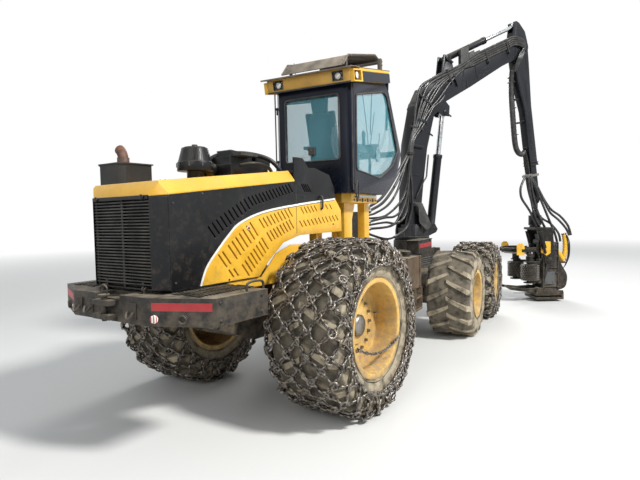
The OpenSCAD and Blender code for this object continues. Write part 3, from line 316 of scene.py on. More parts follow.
# %% Paints
def paint(name, colour, darker, roughness, dust, mud_top, mud, wear, wear_amount, specular=0.5):
    """A paint: its two shades, how rough, dusty and muddy it is, and what shows where it has worn off."""
    material, tree, place = start(name)
    shade = over(tree, blotches(tree, place, 450, 3.0, 0.35, 0.7), colour, darker)
    stretched = add(tree, "ShaderNodeMapping",
                    {"Vector": place, "Scale": (1.0, 1.0, 14.0), "Rotation": (0.2, 0.5, 0.1)})
    streaks = blotches(tree, stretched.outputs[0], 160, 3.0, 0.56, 0.72)
    shade = over(tree, where_both(tree, streaks, 0.28), shade, darker)
    near_ground = where_both(tree, low_down(tree, place, 2.6, 0.8), 0.5)
    grime = where_both(tree, blotches(tree, place, 70, 6.0, 0.5, 0.72, 0.7), near_ground)
    shade = over(tree, grime, shade, "#5C5145")
    settled = where_both(tree, upward(tree), blotches(tree, place, 140, 5.0, 0.3, 0.62))
    film = where_both(tree, settled, dust)
    shade = over(tree, film, shade, "#B3A68F")
    spots = blotches(tree, place, 90, 7.0, 0.38, 0.6, 0.65)
    splash = where_both(tree, where_both(tree, low_down(tree, place, mud_top, mud_top * 0.35), spots), mud)
    shade = over(tree, splash, shade, "#8F806A")
    worn = where_both(tree, edges(tree), blotches(tree, place, 40, 5.0, 0.42, 0.62))
    shade = over(tree, where_both(tree, worn, wear_amount), shade, wear)
    dull = larger(tree, larger(tree, film, splash, use_clamp=True), grime, use_clamp=True)
    gloss = between(tree, dull, 0.0, 1.0, roughness, 0.9)
    finish_material(tree, shade, gloss, bumped(tree, place, 9, 0.0006, 0.25), IOR=1.5,
                    **{"Specular IOR Level": specular})
    return material


yellow_paint = paint("yellow_two_pack_paint", "#E6B339", "#D7A22E", 0.30, 0.30, 1.5, 0.35, "#6E5A34", 0.5)
# The roof's band is the hood's yellow made a darker ochre: painted shade.
shaded_roof_yellow = paint("roof_yellow_darkened_as_painted_shade", "#CFA040", "#A67F36", 0.45, 0.55, 0.5, 0.0, "#6E5A34", 0.4)
rim_paint = paint("rim_ochre_paint", "#DDB665", "#BF9448", 0.5, 0.35, 1.5, 0.7, "#7A6142", 0.6)
hood_black = paint("hood_black_paint", "#101113", "#191A1C", 0.34, 0.24, 1.2, 0.3, "#55524E", 0.4, 0.25)
frame_paint = paint("chassis_black_paint", "#18191B", "#242321", 0.5, 0.45, 1.5, 0.6, "#5D544A", 0.5, 0.3)
cab_paint = paint("cab_navy_paint", "#0A0E18", "#101624", 0.26, 0.18, 0.5, 0.0, "#4A4C52", 0.25, 0.2)
crane_paint = paint("crane_graphite_paint", "#101216", "#1A1C21", 0.36, 0.30, 0.5, 0.0, "#7D776F", 0.6, 0.25)
head_paint = paint("head_black_paint", "#0F0F0F", "#1A1814", 0.42, 0.26, 0.9, 0.25, "#8A8378", 0.9, 0.25)
guard_paint = paint("guard_bare_brown_paint", "#5E564D", "#453E37", 0.6, 0.6, 0.5, 0.0, "#A79B86", 0.9)
tank_paint = paint("tank_dusty_paint", "#5A4633", "#33291F", 0.6, 0.5, 1.4, 0.55, "#6E6455", 0.5, 0.3)
guard_yellow = paint("hose_guard_yellow_paint", "#E8B62C", "#C99524", 0.42, 0.3, 0.9, 0.3, "#5B4A2B", 0.6)
red_paint = paint("red_stripe_paint", "#A8252B", "#8C1E24", 0.4, 0.25, 1.4, 0.3, "#5B2A28", 0.4)
white_paint = paint("white_stripe_paint", "#E8E6DF", "#D5D2C8", 0.4, 0.2, 1.2, 0.2, "#A09A8C", 0.3)

# %% [markdown]
# ## Rubber, steel and glass
# Tyre rubber is nearly black, but what shows is dried loam on the lugs and the sidewall: pale on the lug
# tops, while the lug feet and the gaps are kept dark as painted shade. Chain steel is forged, browned and
# polished bright where it rubs. Hose rubber is satin with a thin film of dust. Window glass is tinted
# green-blue all the way through.

# %% Tyre rubber, chain steel and hose rubber
def tyre_rubber():
    """Vulcanised rubber: dark, matt, and pale with dried loam; dark lug feet and gaps are painted shade."""
    material, tree, place = start("mud_caked_tyre_rubber")
    clods = blotches(tree, place, 60, 8.0, 0.4, 0.62, 0.65)
    wide = blotches(tree, place, 300, 4.0, 0.3, 0.62)
    shade = over(tree, where_both(tree, clods, wide), "#171614", "#575046")
    mud_and_shade_values = add(tree, "ShaderNodeAttribute", attribute_name="mud_and_shade")
    mud_cover_and_shade = where_both(tree, mud_and_shade_values.outputs["Fac"], blotches(tree, place, 110, 6.0, 0.3, 0.55))
    shade = over(tree, mud_cover_and_shade, shade, "#B7A98F")
    speck = blotches(tree, place, 12, 4.0, 0.55, 0.7)
    shade = over(tree, where_both(tree, speck, 0.35), shade, "#3A352E")
    finish_material(tree, shade, between(tree, mud_cover_and_shade, 0.0, 1.0, 0.75, 0.95),
                    bumped(tree, place, 22, 0.004, 0.55), IOR=1.5)
    return material


def chain_steel():
    """Forged steel: brown scale, bright where it rubs."""
    material, tree, place = start("forged_chain_steel")
    brown = blotches(tree, place, 35, 5.0, 0.4, 0.65)
    shade = over(tree, brown, "#8B857D", "#2B221D")
    mud = blotches(tree, place, 160, 4.0, 0.55, 0.7)
    shade = over(tree, where_both(tree, mud, 0.5), shade, "#8A7B66")
    finish_material(tree, shade, between(tree, brown, 0.0, 1.0, 0.36, 0.62), None, Metallic=0.75)
    return material


def hose_rubber():
    """Extruded hose rubber: dark and satin, with dust on top."""
    material, tree, place = start("hydraulic_hose_rubber")
    shade = over(tree, blotches(tree, place, 90, 4.0, 0.45, 0.7), "#151617", "#3A3733")
    shade = over(tree, where_both(tree, upward(tree), 0.16), shade, "#9A9080")
    finish_material(tree, shade, 0.34, bumped(tree, place, 4, 0.0006, 0.4), IOR=1.5)
    return material

# %% Ground, chromed and rusted steel
BOX_TOP = 2.408  # where the exhaust's pipe leaves its box


def bright_steel(name, colour, roughness):
    """Ground or chromed steel: a mirror, dulled in patches by oil and dust."""
    material, tree, place = start(name)
    shade = over(tree, blotches(tree, place, 60, 5.0, 0.5, 0.75), colour, "#6B655D")
    finish_material(tree, shade, roughness, bumped(tree, place, 5, 0.0003, 0.2), Metallic=1.0)
    return material


def rusty_steel():
    """Mild steel: the exhaust's box is painted black, the pipe above it is rusted by heat."""
    material, tree, place = start("hot_rusted_steel")
    rust = over(tree, blotches(tree, place, 50, 7.0, 0.35, 0.65), "#3B2A22", "#6E452D")
    boxed = over(tree, blotches(tree, place, 200, 5.0, 0.45, 0.7), "#17181A", "#26241F")
    boxed = over(tree, where_both(tree, upward(tree), 0.3), boxed, "#8A7F6C")
    shade = over(tree, low_down(tree, place, BOX_TOP + 0.004, BOX_TOP - 0.004), rust, boxed)
    finish_material(tree, shade, 0.6, bumped(tree, place, 8, 0.001, 0.3), IOR=1.5)
    return material

# %% Glass, moulded plastic, cloth and lenses
def window_glass():
    """Tinted safety glass: smooth and see-through, with an uneven film of dust."""
    material, tree, place = start("green_tinted_window_glass")
    dust = where_both(tree, blotches(tree, place, 200, 5.0, 0.45, 0.8), 0.18)
    finish_material(tree, over(tree, dust, "#5CA8B6", "#C8CCC2"), 0.03, IOR=1.5, Alpha=0.26)
    return material


def moulded(name, colour, roughness=0.6, grain=3.0):
    """A moulded plastic, or a rough casting: one colour with a fine grain and a little dust."""
    material, tree, place = start(name)
    shade = over(tree, where_both(tree, blotches(tree, place, 120, 4.0, 0.4, 0.7), 0.5), colour, "#5A564F")
    shade = over(tree, where_both(tree, upward(tree), 0.2), shade, "#9A8F7C")
    finish_material(tree, shade, roughness, bumped(tree, place, grain, 0.0005, 0.3), IOR=1.5)
    return material


def seat_cloth():
    """Woven cloth: matt. Its real threads are too fine to show, so the weave is drawn coarser."""
    material, tree, place = start("woven_seat_cloth")
    weave = add(tree, "ShaderNodeTexWave", {"Vector": place, "Scale": per_mm(24), "Distortion": 1.0})
    cross = add(tree, "ShaderNodeTexNoise", {"Vector": place, "Scale": per_mm(6), "Detail": 3.0})
    shade = over(tree, weave.outputs["Fac"], "#1C2029", "#2B303C")
    height = add(tree, "ShaderNodeMath", {0: weave.outputs["Fac"], 1: cross.outputs["Fac"]}, operation="ADD")
    bump = add(tree, "ShaderNodeBump", {"Height": height.outputs[0], "Strength": 0.3, "Distance": 0.001})
    finish_material(tree, shade, 0.85, bump.outputs[0], **{"Sheen Weight": 0.3})
    return material


def lens_glass(name, colour):
    """Pressed glass: glossy, with moulded ribs drawn as pale bands of painted glint."""
    material, tree, place = start(name)
    ribs = add(tree, "ShaderNodeTexWave", {"Vector": place, "Scale": per_mm(30)})
    # Pale bands along the ribs over the lens colour: painted glints.
    shade = over(tree, ribs.outputs["Fac"], colour, "#F2F0E8")
    finish_material(tree, shade, 0.15, None, **{"IOR": 1.5, "Coat Weight": 0.6})
    return material

# %% Every finish by its name
rubber = tyre_rubber()
chain_metal = chain_steel()
hose_skin = hose_rubber()
chrome = bright_steel("hard_chromed_rod", "#C9CCCE", 0.12)
bare_steel = bright_steel("ground_bar_steel", "#8F8C86", 0.4)
cast_grey = moulded("grey_cast_iron", "#4A4D4F", 0.7, 6.0)
exhaust_steel = rusty_steel()
glass = window_glass()
black_plastic = moulded("black_moulded_plastic", "#1C1D1F")
dark_mesh = moulded("louvre_plastic", "#0C0C0D", 0.5)
seat_fabric = seat_cloth()
lamp_lens = lens_glass("ribbed_lamp_lens", "#CFCDC4")
red_lens = lens_glass("red_reflector_lens", "#A01818")
amber_lens = lens_glass("amber_beacon_lens", "#D87818")
print("materials:", len(bpy.data.materials))

# %% [markdown]
# ## Small mesh tools
# Most dressing is many small things: links, bolts, hoses, louvres. Each family is gathered into one batch of
# vertices and faces and becomes one object, which renders fast and rides on one body.

# %% Batches of geometry
class Batch:
    """Gathers shapes, then makes them one object."""

    def __init__(self):
        self.points, self.faces, self.smooth, self.mud_and_shade = [], [], [], []

    def take(self, points, faces, place=IDENTITY, smooth=True, mud_and_shade=None):
        base = len(self.points)
        self.points += [place @ Vector(p) for p in points]
        self.faces += [tuple(base + i for i in face) for face in faces]
        self.smooth += [smooth] * len(faces)
        self.mud_and_shade += mud_and_shade if mud_and_shade else [0.0] * len(points)
        return self

    def box(self, x0, x1, y0, y1, z0, z1, place=IDENTITY):
        return self.take(*block(x0, x1, y0, y1, z0, z1), place, smooth=False)

    def slab(self, outline, y0, y1):
        return self.take(*prism(outline, y0, y1), smooth=False)

    def hose(self, points, steps, radius, sides):
        """A tube along a smooth curve through the points."""
        return self.take(*tube(smooth_path(points, steps), radius, sides))

    def rod(self, points, radius, sides):
        return self.take(*tube(points, radius, sides))

    def hoop(self, points, radius, sides):
        return self.take(*tube(points, radius, sides, closed=True))

    def disc(self, profile, segments, place):
        return self.take(*turned_shape(profile, segments, "Z"), place)

    def bolt(self, radius, height, place):
        return self.take(*hexagon(radius, height), place, smooth=False)

    def make(self, name, material, body, place=IDENTITY, bevel=0.0, slot=None):
        mesh = bpy.data.meshes.new(name)
        mesh.from_pydata([place @ p for p in self.points], [], self.faces)
        mesh.polygons.foreach_set("use_smooth", self.smooth)
        if any(self.mud_and_shade):
            mesh.attributes.new("mud_and_shade", "FLOAT", "POINT").data.foreach_set("value", self.mud_and_shade)
        mesh.materials.append(material)
        thing = bpy.data.objects.new(name, mesh)
        bpy.context.scene.collection.objects.link(thing)
        if bevel:
            mesh.polygons.foreach_set("use_smooth", [True] * len(self.faces))
            round_edges(thing, bevel)
        if body:
            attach(thing, body)
        return thing

# %% Circles and sides
def batches(count):
    return [Batch() for _ in range(count)]


def turns(count):
    """Equal steps round a circle, as angles."""
    return [2 * pi * k / count for k in range(count)]


def circle(count, radius):
    """Places round a circle, as pairs."""
    return [(radius * cos(a), radius * sin(a)) for a in turns(count)]


def side_span(s, near, far):
    """The y range of what stands between near and far from the middle, on side s."""
    return (near, far) if s > 0 else (-far, -near)

# %% Rounded edges, tubes and smooth paths
def round_edges(thing, width):
    rounding = thing.modifiers.new("rounded edges", "BEVEL")
    rounding.width = width
    rounding.segments = 2
    rounding.limit_method = "ANGLE"
    rounding.angle_limit = radians(35)
    rounding.harden_normals = True


def frames_along(points, closed=False):
    """A pair of cross directions at each point of a path, turned as little as possible on the way."""
    count = len(points)
    out = []
    last = None
    for i, p in enumerate(points):
        a = points[(i - 1) % count] if closed or i > 0 else p
        b = points[(i + 1) % count] if closed or i < count - 1 else p
        ahead = (b - a).normalized()
        if last is None:
            last = ahead.orthogonal().normalized()
        last = (last - ahead * last.dot(ahead)).normalized()
        out.append((last, ahead.cross(last)))
    return out


def tube(points, radius, sides=8, closed=False):
    """A round tube along a path. radius is a number, or one for each point."""
    points = [Vector(p) for p in points]
    radii = radius if isinstance(radius, (list, tuple)) else [radius] * len(points)
    verts, faces = [], []
    for p, (u, v), r in zip(points, frames_along(points, closed), radii):
        for k in range(sides):
            t = 2 * pi * k / sides
            verts.append(p + (u * cos(t) + v * sin(t)) * r)
    rings = len(points)
    for i in range(rings if closed else rings - 1):
        for k in range(sides):
            j = (i + 1) % rings
            n = (k + 1) % sides
            faces.append((i * sides + k, i * sides + n, j * sides + n, j * sides + k))
    if not closed:
        faces.append(tuple(range(sides - 1, -1, -1)))
        faces.append(tuple((rings - 1) * sides + k for k in range(sides)))
    return verts, faces


def smooth_path(points, steps=8):
    """A Catmull-Rom curve through the points."""
    points = [Vector(p) for p in points]
    last = len(points) - 1
    out = []
    for i in range(last):
        p = [points[min(max(i + k, 0), last)] for k in (-1, 0, 1, 2)]
        for s in range(steps):
            t = s / steps
            out.append(0.5 * ((2 * p[1]) + (p[2] - p[0]) * t + (2 * p[0] - 5 * p[1] + 4 * p[2] - p[3]) * t * t
                              + (3 * p[1] - p[0] - 3 * p[2] + p[3]) * t * t * t))
    return out + [points[-1]]

# %% Prisms, turned shapes and bolt heads
def prism(outline, y0, y1):
    """An outline in x and z, made thick from y0 to y1."""
    n = len(outline)
    verts = [(x, y, z) for y in (y0, y1) for x, z in outline]
    faces = [tuple(range(n)), tuple(range(2 * n - 1, n - 1, -1))]
    faces += [(i, i + n, (i + 1) % n + n, (i + 1) % n) for i in range(n)]
    area = sum(outline[i][0] * outline[(i + 1) % n][1] - outline[(i + 1) % n][0] * outline[i][1]
               for i in range(n))
    if (area > 0) != (y1 > y0):
        faces = [face[::-1] for face in faces]
    return verts, [face[::-1] for face in faces]


def block(x0, x1, y0, y1, z0, z1):
    return prism([(x0, z0), (x1, z0), (x1, z1), (x0, z1)], y0, y1)


def turned_shape(profile, segments=48, axis="Y"):
    """A profile of (distance along the axis, radius) pairs, turned round the axis."""
    verts, faces = [], []
    for i in range(segments):
        t = 2 * pi * i / segments
        for along_axis, radius in profile:
            a, b = radius * cos(t), radius * sin(t)
            verts.append((a, along_axis, b) if axis == "Y" else (a, b, along_axis))
    n = len(profile)
    for i in range(segments):
        j = (i + 1) % segments
        for k in range(n - 1):
            face = (i * n + k, j * n + k, j * n + k + 1, i * n + k + 1)
            faces.append(face if axis == "Y" else face[::-1])
    return verts, faces


def hexagon(radius, height):
    """A bolt head standing on Z."""
    ring = [(radius * cos(k * pi / 3), radius * sin(k * pi / 3)) for k in range(6)]
    verts = [(x, y, 0) for x, y in ring] + [(x * 0.9, y * 0.9, height) for x, y in ring]
    faces = [(i, (i + 1) % 6, (i + 1) % 6 + 6, i + 6) for i in range(6)] + [tuple(range(6, 12))]
    return verts, faces


def facing(point, direction):
    """A place whose Z axis looks along direction."""
    m = Vector(direction).to_track_quat("Z", "Y").to_matrix().to_4x4()
    m.translation = Vector(point)
    return m

# %% [markdown]
# ## The finish of every CAD part
# Each solid from the frame keeps its shape. Steel plate is flame cut and welded, so its edges are broken
# by a few millimetres: a weld modifier joins the imported faces, a dissolve makes flat faces whole again,
# and a small bevel catches the light along the edges.

# %% Materials for the frame's nodes
finishes = {
    frame_paint: "rear_frame rear_bumper rear_axle front_frame bogie_boxes steer_barrel_l steer_barrel_r",
    yellow_paint: "rear_fenders hood_top hood_side_yellow cab_base",
    hood_black: "hood_side_black intake",
    dark_mesh: "rear_grille",
    exhaust_steel: "exhaust",
    cast_grey: "engine_block",
    tank_paint: "side_tanks",
    cab_paint: "cab_frame cab_door",
    # the roof gets the darker ochre copy of the yellow, which is painted shade
    shaded_roof_yellow: "cab_roof",
    guard_paint: "roof_guard",
    glass: "cab_glass door_glass",
    black_plastic: "seat_base console",
    seat_fabric: "seat_cushion",
    lamp_lens: "work_lamps",
    crane_paint: "crane_pillar main_boom lift_barrel jib jib_barrel extension tip_link",
    chrome: "steer_rod_l steer_rod_r lift_rod jib_rod",
    head_paint: "tilt_frame head_frame knife_l knife_r feed_arm_l feed_arm_r",
    bare_steel: "saw_bar",
    rubber: "tyre_rear_l tyre_rear_r tyre_mid_l tyre_mid_r tyre_front_l tyre_front_r",
    rim_paint: "rim_rear_l rim_rear_r rim_mid_l rim_mid_r rim_front_l rim_front_r",
}
PLAIN_EDGE = 0.005
edge_width = {
    "cab_glass": 0.002, "door_glass": 0.002, "saw_bar": 0.002, "rear_grille": 0.003,
    "hood_side_yellow": 0.003,
    "cab_door": 0.008, "rear_bumper": 0.008, "main_boom": 0.008, "cab_frame": 0.012, "cab_roof": 0.014,
    "hood_top": 0.02,
}
for finish, names in finishes.items():
    for name in names.split():
        node = nodes[name]
        node.data.materials.clear()
        node.data.materials.append(finish)
        if name.startswith("tyre"):
            continue
        node.data.polygons.foreach_set("use_smooth", [True] * len(node.data.polygons))
        weld = node.modifiers.new("weld", "WELD")
        weld.merge_threshold = 0.0002
        flat = node.modifiers.new("whole faces", "DECIMATE")
        flat.decimate_type = "DISSOLVE"
        flat.angle_limit = radians(0.5)
        round_edges(node, edge_width.get(name, PLAIN_EDGE))
missing = sorted(set(nodes) - {n for names in finishes.values() for n in names.split()})
print("finished nodes:", len(nodes) - len(missing), "missing:", missing)

# %% [markdown]
# ## Wheels
# A forestry tyre is a fat carcass with bars of rubber a few centimetres tall, in two staggered rows. A
# polygon ring would give a flat crown, so the section is a smooth curve turned round the axle, and each
# lug is lofted along that same curve, from the middle out over the shoulder. The dry mud that shows in
# the photograph sits on the lug tops and on the sidewall, and the lug feet and the tread between the lugs
# are kept dark as painted shade, so each point carries a mud_and_shade value for the material.

# %% Tyre section and lugs
REAR_TYRE = dict(radius=0.814, width=0.740, rim=0.455, lug=0.042)
BOGIE_TYRE = dict(radius=0.656, width=0.680, rim=0.345, lug=0.034)
WHEELS = {"rear_l": REAR_TYRE, "rear_r": REAR_TYRE, "mid_l": BOGIE_TYRE,
          "mid_r": BOGIE_TYRE, "front_l": BOGIE_TYRE, "front_r": BOGIE_TYRE}
LUGS = 16


def section(radius, width, rim, lug):
    """The carcass section from one bead to the other: (y, r) points."""
    hw, tread = width / 2, radius - lug
    wall = rim + (radius - rim) * 0.45
    half = [(hw * 0.86, rim), (hw * 0.90, rim + 0.02), (hw * 0.965, rim + 0.075), (hw * 0.985, wall),
            (hw * 0.96, tread - 0.075), (hw * 0.86, tread - 0.022), (hw * 0.7, tread - 0.004),
            (hw * 0.3, tread + 0.005)]
    points = half + [(0, tread + 0.006)] + [(-y, r) for y, r in reversed(half)]
    return [(p.x, p.y) for p in smooth_path([(y, r, 0) for y, r in points], 3)]


def surface_radius(profile, y):
    """The carcass radius at a place across the tread."""
    crown = [p for p in profile if p[1] > profile[0][1] + 0.1]
    return max((r for yy, r in crown if abs(yy - y) < 0.02), default=crown[0][1])

# %% One lug
def lug_shape(profile, radius, width, lug, turn, side_sign):
    """One bar of rubber: stations from the middle to the shoulder, lagging behind as they go out."""
    verts, faces, mud_and_shade = [], [], []
    stations = 9
    for k in range(stations):
        t = k / (stations - 1)
        y = side_sign * (-0.012 + t * width * 0.497)
        lag = -width * 0.25 * t ** 0.9
        over_edge = max(0.0, t - 0.88) / 0.12
        base = min(surface_radius(profile, y), radius - lug) - 0.012 - over_edge * 0.03
        top = radius - 0.004 - 0.004 * t - over_edge * 0.05
        half_foot = 0.036 + 0.012 * t
        half_top = 0.025 + 0.012 * t
        for r, half in ((base, half_foot), (top, half_top)):
            for s in (-1, 1):
                a = turn + (lag + s * half) / radius
                verts.append((r * sin(a), y, r * cos(a)))
                # Lug tops get a high value, pale mud; their feet a low one, dark as painted shade between the
                # lugs.
                mud_and_shade.append(0.85 if r == top else 0.3)
    for k in range(stations - 1):
        a, b = 4 * k, 4 * k + 4
        ring = [(a + 2, a + 3, b + 3, b + 2), (a, a + 2, b + 2, b), (a + 3, a + 1, b + 1, b + 3),
                (a + 1, a, b, b + 1)]
        faces += [f if side_sign > 0 else f[::-1] for f in ring]
    ends = [(0, 1, 3, 2), tuple(4 * (stations - 1) + i for i in (0, 2, 3, 1))]
    faces += [f if side_sign > 0 else f[::-1] for f in ends]
    return verts, faces, mud_and_shade

# %% A whole tyre
def tyre_batch(radius, width, rim, lug, seed):
    rng = random.Random(seed)
    profile = section(radius, width, rim, lug)
    batch = Batch()
    verts, faces = turned_shape(profile, 112)
    mud_and_shade = []
    shaped = []
    for x, y, z in verts:
        r = hypot(x, z)
        lump = noise.noise(Vector((x * 9, y * 9, z * 9 + seed))) * 0.004
        on_wall = r < radius - lug - 0.06
        shaped.append((x * (1 + (0 if on_wall else lump / r)), y, z * (1 + (0 if on_wall else lump / r))))
        # The sidewall gets mud; the tread between the lugs is kept low, dark as painted shade.
        mud_and_shade.append(0.75 if on_wall else 0.25)
    batch.take(shaped, faces, mud_and_shade=mud_and_shade)
    for i in range(LUGS):
        for s in (-1, 1):
            turn = (i + (0.5 if s > 0 else 0)) * 2 * pi / LUGS
            v, f, c = lug_shape(profile, radius, width, lug, turn, s)
            fade = rng.uniform(0.5, 1.15)
            batch.take(v, f, smooth=False, mud_and_shade=[min(1, x * fade) for x in c])
    # raised rings on the sidewall
    for s in (-1, 1):
        for r in (rim + 0.035, rim + 0.12):
            ring = [(r * cos(a), s * width * 0.487, r * sin(a)) for a in turns(80)]
            batch.take(*tube(ring, 0.006, 5, closed=True), mud_and_shade=[0.6] * 400)
    return batch

# %% [markdown]
# ## Chain nets
# The net is made of round steel rings, joined by short strands of forged links, in a diamond pattern over
# the tread, and gathered by a heavy side chain on each sidewall. Links are laid one by one along each
# strand, each turned against the last, as in a real chain: a texture could not cast these shadows. The
# whole net of a wheel is one object.

# %% Links and nets
LINK_CORNERS, LINK_SIDES = 8, 4
LINK_WOBBLE = 0.0025
RING_RADIUS = 0.036


def link_shape(length, width, wire):
    """One forged link, its long way on X, lying in X and Y."""
    r = width / 2 - wire
    straight = length / 2 - width / 2
    path = []
    for k in range(LINK_CORNERS):
        t = 2 * pi * (k + 0.5) / LINK_CORNERS
        path.append(Vector((copysign(straight, cos(t)) + r * cos(t), r * sin(t), 0)))
    return tube(path, wire, LINK_SIDES, closed=True)

# %% The surface that the chain lies on
class Envelope:
    """The surface that a chain lies on: an angle round the wheel and a share across it give a point."""

    def __init__(self, radius, width, lift):
        hw = width / 2
        half = [(hw + 0.016, radius - 0.21), (hw + 0.014, radius - 0.12), (hw + 0.002, radius - 0.055),
                (hw * 0.93, radius - 0.012), (hw * 0.8, radius + 0.004), (hw * 0.4, radius + 0.006)]
        line = half + [(0, radius + 0.006)] + [(-y, r) for y, r in reversed(half)]
        self.line = [(p.x, p.y + lift) for p in smooth_path([(y, r, 0) for y, r in line], 6)]
        self.steps = [0.0]
        for a, b in zip(self.line, self.line[1:]):
            self.steps.append(self.steps[-1] + hypot(b[0] - a[0], b[1] - a[1]))

    def point(self, angle, across):
        """across runs from 0, one side ring, to 1, the other."""
        want = min(max(across, 0), 1) * self.steps[-1]
        k = 0
        while k < len(self.steps) - 2 and self.steps[k + 1] < want:
            k += 1
        t = (want - self.steps[k]) / max(self.steps[k + 1] - self.steps[k], 1e-9)
        (y0, r0), (y1, r1) = self.line[k], self.line[k + 1]
        y, r = y0 + (y1 - y0) * t, r0 + (r1 - r0) * t
        return Vector((r * sin(angle), y, r * cos(angle)))

# %% Strands of links
def strand(batch, a, b, out, pitch, width, wire, phase, droop, rng):
    """Links from a to b. out is the direction away from the rubber."""
    span = (b - a).length
    count = max(2, round(span / pitch))
    shape = link_shape(span / count + wire * 2.1, width, wire)
    for k in range(count):
        t = (k + 0.5) / count
        sag = droop * 4 * t * (1 - t)
        wobble = Vector([rng.gauss(0, 1) for _ in range(3)]) * LINK_WOBBLE
        forward = (b - a).normalized()
        across = out.cross(forward).normalized()
        twist = (0.35 if (k + phase) % 2 else 1.25) + rng.uniform(-0.3, 0.3)
        flat = across * cos(twist) + out * sin(twist)
        place = Matrix((forward, flat, forward.cross(flat))).transposed().to_4x4()
        place.translation = a.lerp(b, t) + out * sag + wobble
        batch.take(*shape, place)

# %% The net of one wheel
def chain_net(radius, width, meshes, rows, wire, seed):
    rng = random.Random(seed)
    surface = Envelope(radius, width, -0.004)
    batch = Batch()
    ring = tube([(x, y, 0) for x, y in circle(12, RING_RADIUS)], wire * 1.15, 5, closed=True)
    knots = {}
    for j in range(rows + 1):
        for i in range(meshes):
            angle = 2 * pi * (i + (j % 2) / 2) / meshes
            edge = j in (0, rows)
            angle += 0 if edge else rng.uniform(-0.022, 0.022)
            across = j / rows + (0 if edge else rng.uniform(-0.018, 0.018))
            p = surface.point(angle, across)
            q = surface.point(angle, min(across + 0.02, 1)) - surface.point(angle, max(across - 0.02, 0))
            axis = Vector((cos(angle), 0, -sin(angle)))
            out = q.cross(axis).normalized()
            if out.dot(Vector((sin(angle), 0, cos(angle)))) < 0 and abs(q.normalized().y) > 0.3:
                out = -out
            if abs(q.normalized().y) <= 0.3:
                out = Vector((0, 1 if p.y > 0 else -1, 0))
            knots[j, i] = (p + out * wire, out)
    for (j, i), (p, out) in knots.items():
        if 0 < j < rows:
            tipped = out + Vector([rng.uniform(-0.3, 0.3) for _ in range(3)])
            batch.take(*ring, facing(p + out * 0.002, tipped))
        if j < rows:
            step = -1 if j % 2 == 0 else 1
            for other in ((j + 1, i), (j + 1, (i + step) % meshes)):
                q, out2 = knots[other]
                middle = (out + out2).normalized()
                strand(batch, p, q, middle, 0.064, 0.050, wire, i, rng.uniform(-0.002, 0.006), rng)
    for j in (0, rows):
        for i in range(meshes):
            p, out = knots[j, i]
            q, _ = knots[j, (i + 1) % meshes]
            middle = p.lerp(q, 0.5)
            rise = middle.normalized() * (p.length - middle.length)
            strand(batch, p, middle + rise, out, 0.066, 0.056, wire * 1.2, 0, 0.004, rng)
            strand(batch, middle + rise, q, out, 0.066, 0.056, wire * 1.2, 1, 0.004, rng)
    return batch

# %% A loose chain, and the frame of a wheel
def hanging_chain(batch, a, b, drop, seed):
    """A loose length of chain that hangs in a swag between two points."""
    rng = random.Random(seed)
    points = [a.lerp(b, t) + Vector((0, 0, -drop * 4 * t * (1 - t))) for t in (k / 14 for k in range(15))]
    for k, (p, q) in enumerate(zip(points, points[1:])):
        strand(batch, p, q, Vector((0, 1 if a.y > 0 else -1, 0)), 0.05, 0.036, 0.007, k, 0, rng)


def wheel_place(name):
    centre = pin("roll_" + name)
    heading = atan2(joints["roll_" + name]["axis"][1], joints["roll_" + name]["axis"][0]) - pi / 2
    return Matrix.Translation(centre) @ Matrix.Rotation(heading, 4, "Z")

# %% Six wheels
for seed, (name, size) in enumerate(WHEELS.items(), 1):
    sign = 1 if name.endswith("l") else -1
    place = wheel_place(name)
    dirty_tyre = tyre_batch(seed=seed, **size)
    rubber_tyre = dirty_tyre.make("lugged_tyre_" + name, rubber, "wheel_" + name, place, slot="tyre_rubber")
    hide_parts("tyre_" + name)
    if not name.startswith("mid"):
        big = size is REAR_TYRE
        net = chain_net(size["radius"], size["width"], 22 if big else 18, 10 if big else 8, 0.0098, seed)
        if big:
            rim = size["rim"]
            hanging_chain(net, Vector((-rim * 0.93, sign * 0.365, -0.1)),
                          Vector((rim * 0.9, sign * 0.365, -0.16)), 0.1, seed)
        chain = net.make("chain_net_" + name, chain_metal, "wheel_" + name, place)
        print("chain net", name, len(chain.data.polygons) * 2, "triangles")

# %% [markdown]
# ## The engine hood
# A white line follows the arc between the black and the yellow panels. It is tape on paint, and here it is
# a thin ribbon 1.5 mm proud, so that it keeps an edge. A thin black strip splits the side panels and another
# runs below the line, both painted shade for the gaps between the panels, and a pull handle stands near the
# front. Behind the louvres sits the radiator core, which must be dark and finely ribbed.

# %% Hood line, painted seam shade and handles
HOOD_HALF = 0.495
LINE = [(-1.345, 1.345), (-1.275, 1.490), (-1.140, 1.630), (-1.000, 1.755), (-0.860, 1.850),
        (-0.520, 1.948), (0.040, 2.020), (0.710, 2.085)]


def ribbon(path, width, y, thickness):
    """A flat strip along a path in x and z, standing on a side panel at y."""
    points = smooth_path([(x, 0, z) for x, z in path], 8)
    out = copysign(thickness, y)
    verts, faces = [], []
    for i, p in enumerate(points):
        ahead = (points[min(i + 1, len(points) - 1)] - points[max(i - 1, 0)]).normalized()
        n = Vector((-ahead.z, 0, ahead.x)) * width / 2
        for q, depth in ((p + n, 0), (p + n, out), (p - n, out), (p - n, 0)):
            verts.append((q.x, y + depth, q.z))
    for i in range(len(points) - 1):
        a, b = 4 * i, 4 * i + 4
        faces += [(a, b, b + 1, a + 1), (a + 1, b + 1, b + 2, a + 2), (a + 2, b + 2, b + 3, a + 3)]
    faces += [(0, 1, 2, 3), tuple(4 * (len(points) - 1) + k for k in (3, 2, 1, 0))]
    return verts, faces if y > 0 else [f[::-1] for f in faces]


